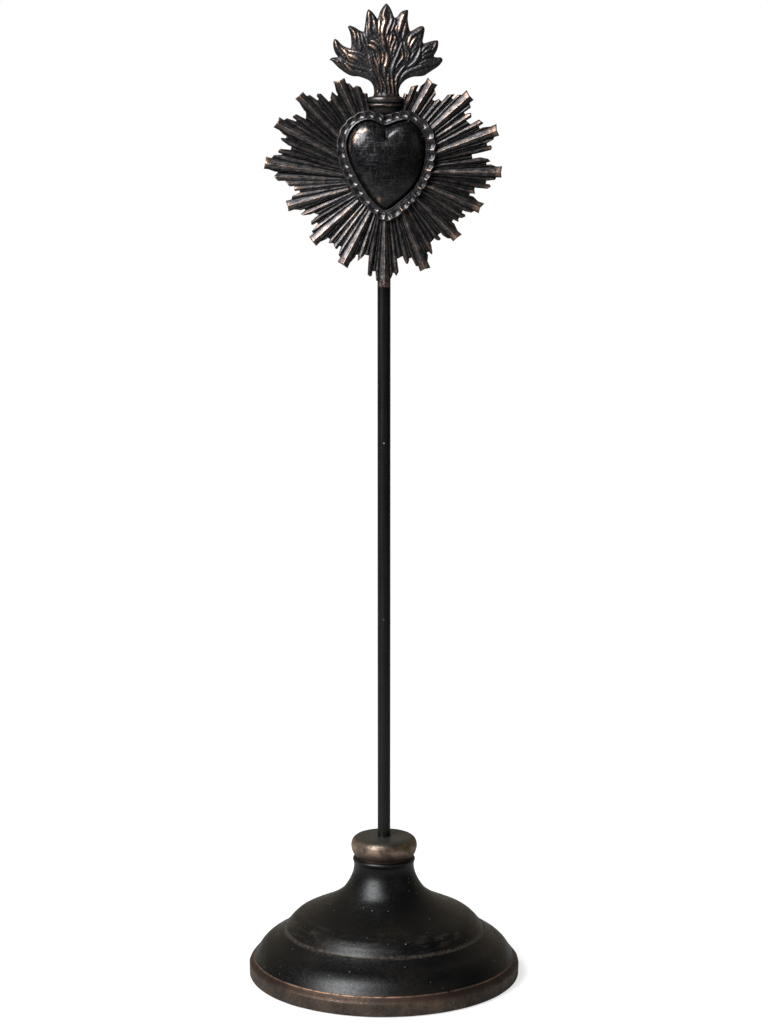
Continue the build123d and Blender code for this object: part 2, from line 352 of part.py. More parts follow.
with BuildPart() as rod_nut:
    with BuildSketch(Plane.XY.offset(nut_pocket_top - 4.2)):
        RegularPolygon(radius=3.5, side_count=6, major_radius=False)
        Circle(thread_radius + 0.04, mode=Mode.SUBTRACT)
    extrude(amount=3.2)
    chamfer(rod_nut.edges().filter_by(GeomType.CIRCLE), 0.03)
rod_nut.part.label = "rod_nut"
export_step(rod_nut.part, "parts/rod_nut.step")

# ---------------------------------------------------------------- rod
# Plain bar: threaded end below a shoulder, and a milled flat with two rivet holes at the top.
with BuildPart() as rod:
    with BuildSketch(Plane.XZ):
        with BuildLine():
            Polyline((0, rod_end), (thread_radius - 0.4, rod_end), (thread_radius, rod_end + 0.4),
                     (thread_radius, rod_shoulder), (rod_radius, rod_shoulder), (rod_radius, rod_top - 0.4),
                     (rod_radius - 0.4, rod_top), (0, rod_top), (0, rod_end))
        make_face()
    revolve(axis=Axis.Z)
    with BuildSketch(Plane.XY.offset(flat_z)):
        with Locations((0, flat_y - 5)):
            Rectangle(8, 10)
    extrude(amount=rod_top - flat_z + 1, mode=Mode.SUBTRACT)
    with BuildSketch(facing(rod_radius + 1)):
        with Locations(*[(0, z) for z in rivet_z]):
            Circle(2.0)
    extrude(amount=1.5, mode=Mode.SUBTRACT)
    with BuildSketch(facing(rod_radius + 1)):
        with Locations(*[(0, z) for z in rivet_z]):
            Circle(rivet_radius + 0.02)
    extrude(amount=8, mode=Mode.SUBTRACT)
rod.part.label = "rod"
export_step(rod.part, "parts/rod.step")

# ---------------------------------------------------------------- sunburst
# One ridge per ray: a stepped roof section, drawn at the root and at the tip.
outline_face = facing(0)
with BuildPart() as ray_relief:
    for i, (kind, root_l, tip, root_r) in enumerate(RAYS):
        if kind not in ("M", "S"):
            continue
        tip_l, tip_r = tip[0], tip[-1]
        p, q = mid(root_l, root_r), mid(tip_l, tip_r)
        run = math.dist(p, q)
        far = (q[0] + (q[0] - p[0]) / run * 3.0, q[1] + (q[1] - p[1]) / run * 3.0)
        near_half = math.dist(root_l, root_r) / 2
        tip_half = math.dist(tip_l, tip_r) / 2
        far_half = tip_half + (tip_half - near_half) / run * 3.0
        stations = ((p, near_half, 0.8), (far, far_half, 1.0))
        if kind == "M":
            left, right = RAYS[i - 1], RAYS[i + 1]
            side_near = (math.dist(left[1], left[3]), math.dist(right[1], right[3]))
            side_far = (math.dist(left[2][0], left[2][-1]), math.dist(right[2][0], right[2][-1]))
        for at, half, rise in stations:
            with BuildSketch(across(at, (at[0] + q[0] - p[0], at[1] + q[1] - p[1]), back_y)):
                if kind == "M":
                    sl, sr = (side_near if at is p else side_far)
                    with BuildLine():
                        Polyline((-half - sr, 0.6), (-half - sr, 1.3), (-half, 1.5 * rise + 0.1), (-half, 1.8 * rise + 0.1),
                                 (0, 2.6 * rise), (half, 1.8 * rise + 0.1), (half, 1.5 * rise + 0.1), (half + sl, 1.3),
                                 (half + sl, 0.6), (-half - sr, 0.6))
                    make_face()
                else:
                    w = half - 0.07
                    with BuildLine():
                        Polyline((-w, 0.6), (-w, 1.2), (0, 2.0 * rise), (w, 1.2), (w, 0.6), (-w, 0.6))
                    make_face()
        loft(ruled=True)
    with BuildSketch(outline_face):
        with BuildLine():
            Polyline(*ray_outline, close=True)
        make_face()
    extrude(amount=30, mode=Mode.INTERSECT)
    # the border's seat and the flame's seat are left flat
    with BuildSketch(front):
        with BuildLine():
            for a, b in zip(BORDER_CUSPS, BORDER_CUSPS[1:] + BORDER_CUSPS[:1]):
                m = mid(a, b)
                k = 0.40 / math.dist(a, b)
                ThreePointArc(a, (m[0] - (b[1] - a[1]) * -k, m[1] - (b[0] - a[0]) * k), b)
        make_face()
        offset(amount=0.05)
        with Locations((0.6, 341.0)):
            Rectangle(14.2, 11.0)
    extrude(amount=10, mode=Mode.SUBTRACT)

with BuildPart() as sunburst:
    with BuildSketch(back):
        with BuildLine():
            Polyline(*ray_outline, close=True)
        make_face()
    extrude(amount=plate_thick)
    add(ray_relief.part)
    with BuildSketch(facing(0)):
        with Locations((-screw_x, screw_z), (screw_x, screw_z)):
            Circle(1.4)
        with Locations(*[(x, flame_screw_z) for x in flame_screw_x]):
            Circle(1.15)
    extrude(amount=30, mode=Mode.SUBTRACT)
sunburst.part.label = "sunburst"
export_step(sunburst.part, "parts/sunburst.step")

# ---------------------------------------------------------------- heart
# Scalloped border: a shallow cup with a coved wall, whose floor lies under the heart.
with BuildPart() as heart_border:
    with BuildSketch(front):
        with BuildLine():
            for a, b in zip(BORDER_CUSPS, BORDER_CUSPS[1:] + BORDER_CUSPS[:1]):
                m = mid(a, b)
                k = 0.40 / math.dist(a, b)
                ThreePointArc(a, (m[0] - (b[1] - a[1]) * -k, m[1] - (b[0] - a[0]) * k), b)
        make_face()
    extrude(amount=border_height)
    with BuildSketch(facing(heart_base_y - 0.15)):
        with BuildLine():
            Spline(*heart_scaled(HEART_RIGHT, 1.06))
            Spline(*heart_scaled(HEART_LEFT, 1.06))
        make_face()
    with BuildSketch(facing(front_y - border_height - 0.05)):
        with BuildLine():
            Spline(*heart_scaled(BORDER_RIGHT, 0.955))
            Spline(*heart_scaled(BORDER_LEFT, 0.955))
        make_face()
    loft(ruled=True, mode=Mode.SUBTRACT)
    with BuildSketch(facing(heart_base_y)):
        with BuildLine():
            Spline(*heart_scaled(HEART_RIGHT, 1.004))
            Spline(*heart_scaled(HEART_LEFT, 1.004))
        make_face()
    extrude(amount=3, mode=Mode.SUBTRACT)
    with BuildSketch(facing(0)):
        with Locations((-screw_x, screw_z), (screw_x, screw_z)):
            Circle(1.4)
    extrude(amount=30, mode=Mode.SUBTRACT)
heart_border.part.label = "heart_border"
export_step(heart_border.part, "parts/heart_border.step")

# Domed heart with two blind tapped holes in its back.
dome_steps = [(0.0, 1.0), (1.2, 0.985), (2.6, 0.945), (4.0, 0.865), (5.2, 0.755), (6.2, 0.61), (6.9, 0.44), (heart_height, 0.2)]
with BuildPart() as heart_boss:
    for h, s in dome_steps:
        with BuildSketch(facing(heart_base_y - h)):
            with BuildLine():
                Spline(*heart_scaled(HEART_RIGHT, s))
                Spline(*heart_scaled(HEART_LEFT, s))
            make_face()
    loft()
    with BuildSketch(facing(heart_base_y)):
        with Locations((-screw_x, screw_z), (screw_x, screw_z)):
            Circle(1.28)
    extrude(amount=3.2, mode=Mode.SUBTRACT)
heart_boss.part.label = "heart_boss"
export_step(heart_boss.part, "parts/heart_boss.step")

# ---------------------------------------------------------------- flame
# Flat-backed flame with ridged tongues on a round neck with a double ring at its foot.
with BuildPart() as tongue_relief:
    for spine in TONGUES:
        for j, (x, z, half, high) in enumerate(spine):
            a = spine[max(j - 1, 0)]
            b = spine[min(j + 1, len(spine) - 1)]
            with BuildSketch(across((x, z), (x + b[0] - a[0], z + b[1] - a[1]), front_y - 1.6)):
                with BuildLine():
                    Polyline((-half, 0), (-half, 0.5), (0, 0.55 + high), (half, 0.5), (half, 0), (-half, 0))
                make_face()
        loft(ruled=True)
    with BuildSketch(outline_face):
        with BuildLine():
            Polyline(*FLAME, close=True)
        make_face()
    extrude(amount=40, mode=Mode.INTERSECT)

with BuildPart() as flame_finial:
    with BuildSketch(front):
        with BuildLine():
            Polyline(*FLAME, close=True)
        make_face()
    extrude(amount=2.1)
    add(tongue_relief.part)
    # neck, rounded in front and flaring up into the flame
    for z, x, a, b in ((343.6, 0.95, 4.9, 4.3), (345.3, 0.95, 4.65, 4.1), (347.2, 1.0, 4.75, 3.9), (349.0, 1.05, 5.4, 3.6), (350.8, 1.0, 6.9, 3.1), (352.4, 0.9, 8.6, 2.5)):
        with BuildSketch(Plane(origin=(x, front_y, z), x_dir=(1, 0, 0), z_dir=(0, 0, 1))):
            Ellipse(a, b)
    loft()
    # stub below the ring, down to the notch of the border
    with BuildSketch(Plane(origin=(0.85, front_y, 336.5), x_dir=(1, 0, 0), z_dir=(0, 0, 1))):
        Ellipse(5.0, 3.6)
    extrude(amount=6.5)
    # double ring
    with BuildSketch(Plane(origin=(0.45, front_y, 342.55), x_dir=(1, 0, 0), z_dir=(0, 0, 1))):
        Ellipse(6.55, 5.4)
    extrude(amount=1.9)
    with BuildSketch(Plane(origin=(0.45, front_y, 341.9), x_dir=(1, 0, 0), z_dir=(0, 0, 1))):
        Ellipse(5.9, 4.8)
    extrude(amount=0.8)
    with BuildSketch(Plane(origin=(0.45, front_y, 340.9), x_dir=(1, 0, 0), z_dir=(0, 0, 1))):
        Ellipse(6.3, 5.2)
    extrude(amount=1.1)
    # everything behind the ray plate's front goes
    with BuildSketch(front):
        with Locations((0, 350)):
            Rectangle(60, 80)
    extrude(amount=-12, mode=Mode.SUBTRACT)
    # the border's outline, so that the stub ends against it
    with BuildSketch(front):
        with BuildLine():
            for a, b in zip(BORDER_CUSPS, BORDER_CUSPS[1:] + BORDER_CUSPS[:1]):
                m = mid(a, b)
                k = 0.40 / math.dist(a, b)
                ThreePointArc(a, (m[0] - (b[1] - a[1]) * -k, m[1] - (b[0] - a[0]) * k), b)
        make_face()
        offset(amount=0.05)
    extrude(amount=20, mode=Mode.SUBTRACT)
    with BuildSketch(front):
        with Locations(*[(x, flame_screw_z) for x in flame_screw_x]):
            Circle(1.03)
    extrude(amount=3.5, mode=Mode.SUBTRACT)
flame_finial.part.label = "flame_finial"
export_step(flame_finial.part, "parts/flame_finial.step")

# ---------------------------------------------------------------- bracket behind the heart
# Channel of folded sheet: web riveted to the rod, feet screwed to the heart, pin holes in the sides.
with BuildPart() as rod_bracket:
    with BuildSketch(Plane.XY.offset(channel_z[0])):
        with Locations((0, (flat_y + back_y + 0.4) / 2)):
            Rectangle(2 * web_half, flat_y - back_y - 0.4)
    extrude(amount=channel_z[1] - channel_z[0])
    fillet(rod_bracket.edges().filter_by(Axis.Z).group_by(Axis.Y)[-1], 1.5)
    with BuildSketch(Plane.XY.offset(channel_z[0] - 1)):
        with Locations((0, (flat_y - sheet + back_y - 2) / 2)):
            Rectangle(2 * (web_half - sheet), flat_y - sheet - back_y + 2)
    extrude(amount=channel_z[1] - channel_z[0] + 2, mode=Mode.SUBTRACT)
    for side in (-1, 1):
        with BuildSketch(facing(back_y + sheet)):
            with Locations((side * (web_half - sheet + foot_x) / 2, sum(foot_z) / 2)):
                RectangleRounded(foot_x - web_half + sheet, foot_z[1] - foot_z[0], 1.2)
        extrude(amount=sheet)
    with BuildSketch(facing(0)):
        with Locations((-screw_x, screw_z), (screw_x, screw_z)):
            Circle(1.35)
        with Locations(*[(0, z) for z in rivet_z]):
            Circle(rivet_radius + 0.02)
    extrude(amount=20, mode=Mode.SUBTRACT)
    with BuildSketch(Plane.YZ.offset(-20)):
        with Locations((pin_y, pin_z)):
            Circle(pin_radius + 0.02)
    extrude(amount=40, mode=Mode.SUBTRACT)
rod_bracket.part.label = "rod_bracket"
export_step(rod_bracket.part, "parts/rod_bracket.step")

# Two screws through the feet, the ray plate and the border's floor into the heart.
with BuildPart() as bracket_screws:
    with BuildSketch(facing(back_y + sheet)):
        with Locations((-screw_x, screw_z), (screw_x, screw_z)):
            Circle(1.25)
    extrude(amount=6.1)
    with BuildSketch(facing(back_y + sheet + 1.5)):
        with Locations((-screw_x, screw_z), (screw_x, screw_z)):
            Circle(2.25)
    extrude(amount=1.5)
    fillet(bracket_screws.edges().filter_by(GeomType.CIRCLE).group_by(Axis.Y)[-1], 0.7)
    with BuildSketch(facing(back_y + sheet + 2)):
        with Locations((-screw_x, screw_z), (screw_x, screw_z)):
            Rectangle(2.4, 0.55)
            Rectangle(0.55, 2.4)
    extrude(amount=1.3, mode=Mode.SUBTRACT)
bracket_screws.part.label = "bracket_screws"
export_step(bracket_screws.part, "parts/bracket_screws.step")

# Two small screws from behind into the flame's neck.
with BuildPart() as flame_screws:
    with BuildSketch(back):
        with Locations(*[(x, flame_screw_z) for x in flame_screw_x]):
            Circle(1.0)
    extrude(amount=4.3)
    with BuildSketch(facing(back_y + 1.2)):
        with Locations(*[(x, flame_screw_z) for x in flame_screw_x]):
            Circle(1.75)
    extrude(amount=1.2)
    fillet(flame_screws.edges().filter_by(GeomType.CIRCLE).group_by(Axis.Y)[-1], 0.55)
    with BuildSketch(facing(back_y + 2)):
        with Locations(*[(x, flame_screw_z) for x in flame_screw_x]):
            Rectangle(1.8, 0.45)
            Rectangle(0.45, 1.8)
    extrude(amount=1.4, mode=Mode.SUBTRACT)
flame_screws.part.label = "flame_screws"
export_step(flame_screws.part, "parts/flame_screws.step")

# Two round-headed rivets that hold the web on the rod's flat.
with BuildPart() as rod_rivets:
    with BuildSketch(facing(2.0)):
        with Locations(*[(0, z) for z in rivet_z]):
            Circle(rivet_radius)
    extrude(amount=2.0 - flat_y + sheet)
    with BuildSketch(facing(2.7)):
        with Locations(*[(0, z) for z in rivet_z]):
            Circle(1.75)
    extrude(amount=0.7)
    with BuildSketch(facing(flat_y - sheet)):
        with Locations(*[(0, z) for z in rivet_z]):
            Circle(1.75)
    extrude(amount=0.7)
    fillet(rod_rivets.edges().filter_by(GeomType.CIRCLE).group_by(Axis.Y)[-1], 0.5)
    fillet(rod_rivets.edges().filter_by(GeomType.CIRCLE).group_by(Axis.Y)[0], 0.5)
rod_rivets.part.label = "rod_rivets"
export_step(rod_rivets.part, "parts/rod_rivets.step")

# ---------------------------------------------------------------- clip
# Bent lever: lip and jaw below, pivot ears in the middle, thumb tab leaning back over the rod.
with BuildPart() as clip_lever:
    with BuildSketch(Plane.YZ):
        with BuildLine():
            FilletPolyline((-7.2, 286.6), (-8.4, 288.3), (-8.4, 293.4), (-7.6, pin_z), (-6.5, 323.2), (4.8, 333.4), radius=0.9)
        trace(line_width=1.0)
    extrude(amount=lever_half, both=True)
    for side in (-1, 1):
        with BuildSketch(Plane.YZ.offset(side * (lever_half - 0.5))):
            with Locations((pin_y, pin_z)):
                Circle(ear_radius)
            with Locations(((pin_y - 7.5) / 2, pin_z)):
                Rectangle(7.5 + pin_y, 2 * ear_radius)
        extrude(amount=0.5, both=True)
    with BuildSketch(Plane.YZ.offset(-20)):
        with Locations((pin_y, pin_z)):
            Circle(pin_radius + 0.05)
    extrude(amount=40, mode=Mode.SUBTRACT)
    # round the corners of the thumb tab and of the lip
    with BuildSketch(facing(20)):
        with Locations((0, (lip_z + tab_z) / 2)):
            RectangleRounded(2 * lever_half, tab_z - lip_z, 2.6)
    extrude(amount=40, mode=Mode.INTERSECT)
clip_lever.part.label = "clip_lever"
export_step(clip_lever.part, "parts/clip_lever.step")

# Rubber pad on the jaw.
with BuildPart() as jaw_pad:
    with BuildSketch(facing(-8.9)):
        with Locations((0, 290.8)):
            RectangleRounded(13.0, 4.2, 0.8)
    extrude(amount=0.8)
    fillet(jaw_pad.faces().sort_by(Axis.Y)[0].edges(), 0.3)
jaw_pad.part.label = "jaw_pad"
export_step(jaw_pad.part, "parts/jaw_pad.step")

# Headed pivot pin with a groove, and the snap ring in the groove.
with BuildPart() as clip_pin:
    with BuildSketch(Plane.YZ.offset(-web_half)):
        with Locations((pin_y, pin_z)):
            Circle(pin_radius)
    extrude(amount=2 * web_half + 1.5)
    with BuildSketch(Plane.YZ.offset(-web_half - 0.9)):
        with Locations((pin_y, pin_z)):
            Circle(2.0)
    extrude(amount=0.9)
    fillet(clip_pin.edges().filter_by(GeomType.CIRCLE).group_by(Axis.X)[0], 0.5)
    chamfer(clip_pin.edges().filter_by(GeomType.CIRCLE).group_by(Axis.X)[-1], 0.25)
    with BuildSketch(Plane.YZ.offset(web_half + 0.1)):
        with Locations((pin_y, pin_z)):
            Circle(pin_radius + 0.5)
            Circle(pin_radius - 0.3, mode=Mode.SUBTRACT)
    extrude(amount=0.6, mode=Mode.SUBTRACT)
clip_pin.part.label = "clip_pin"
export_step(clip_pin.part, "parts/clip_pin.step")

with BuildPart() as pin_retainer:
    with BuildSketch(Plane.YZ.offset(web_half + 0.15)):
        with Locations((pin_y, pin_z)):
            Circle(2.3)
            Circle(pin_radius - 0.26, mode=Mode.SUBTRACT)
        with Locations((pin_y, pin_z + 2.0)):
            Rectangle(1.4, 4.0, mode=Mode.SUBTRACT)
    extrude(amount=0.5)
pin_retainer.part.label = "pin_retainer"
export_step(pin_retainer.part, "parts/pin_retainer.step")

# Torsion spring on the pin: one leg on the web, the other on the lever's lower arm.
turns = 8.5
coil = Helix(pitch=2 * coil_half / turns, height=2 * coil_half, radius=coil_radius,
             center=(0, 0, 0), direction=(1, 0, 0))
start = coil @ 0
swing = math.degrees(math.atan2(start.Z, start.Y))
coil = coil.rotate(Axis.X, -swing).moved(Location((-coil_half, pin_y, pin_z)))
leg_web = Line((-coil_half, pin_y + coil_radius, pin_z), (-coil_half, flat_y - sheet - wire_radius - 0.03, 303.2))
leg_arm = Line((coil_half, pin_y - coil_radius, pin_z), (coil_half, -7.14, 303.2))
with BuildPart() as clip_spring:
    for path in (coil, leg_web, leg_arm):
        with BuildSketch(Plane(origin=path @ 0, z_dir=path % 0)):
            Circle(wire_radius)
        sweep(path=path)
    with Locations(leg_web @ 0, leg_arm @ 0, leg_web @ 1, leg_arm @ 1):
        Sphere(wire_radius)
clip_spring.part.label = "clip_spring"
export_step(clip_spring.part, "parts/clip_spring.step")
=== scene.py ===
import math

import bmesh
import bpy
import numpy as np
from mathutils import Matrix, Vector
from mathutils.geometry import delaunay_2d_cdt


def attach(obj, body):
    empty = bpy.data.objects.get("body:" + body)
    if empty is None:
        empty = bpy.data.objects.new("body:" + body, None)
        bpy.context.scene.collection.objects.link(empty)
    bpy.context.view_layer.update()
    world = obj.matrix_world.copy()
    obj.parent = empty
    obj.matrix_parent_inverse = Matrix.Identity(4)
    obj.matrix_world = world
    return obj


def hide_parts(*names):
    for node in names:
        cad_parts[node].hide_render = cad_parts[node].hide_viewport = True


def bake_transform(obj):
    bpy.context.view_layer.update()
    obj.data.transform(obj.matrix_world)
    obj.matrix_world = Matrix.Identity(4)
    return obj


# Photo holder: cast flaming heart with pleated rays on a slim rod over a turned base.
# Tables and shapes are in millimetres, as in the CAD source, and meshes are scaled to metres.
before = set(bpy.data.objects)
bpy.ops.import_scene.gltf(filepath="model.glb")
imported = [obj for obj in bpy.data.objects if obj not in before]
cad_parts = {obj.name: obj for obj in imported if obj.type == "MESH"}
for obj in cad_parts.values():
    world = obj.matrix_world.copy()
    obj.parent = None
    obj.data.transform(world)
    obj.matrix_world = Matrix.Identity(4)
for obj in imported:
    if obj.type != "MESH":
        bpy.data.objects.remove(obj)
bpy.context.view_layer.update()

MM = 0.001
BACK_Y = -10.0              # back of the ray plate
PLATE = 1.1                 # its thickness under the border
FRONT_Y = BACK_Y - PLATE
HEART_FLOOR = 1.0           # floor of the border above the ray plate
HEART_HEIGHT = 7.4
BORDER_HEIGHT = 2.9
HEART_MID = (0.8, 319.6)

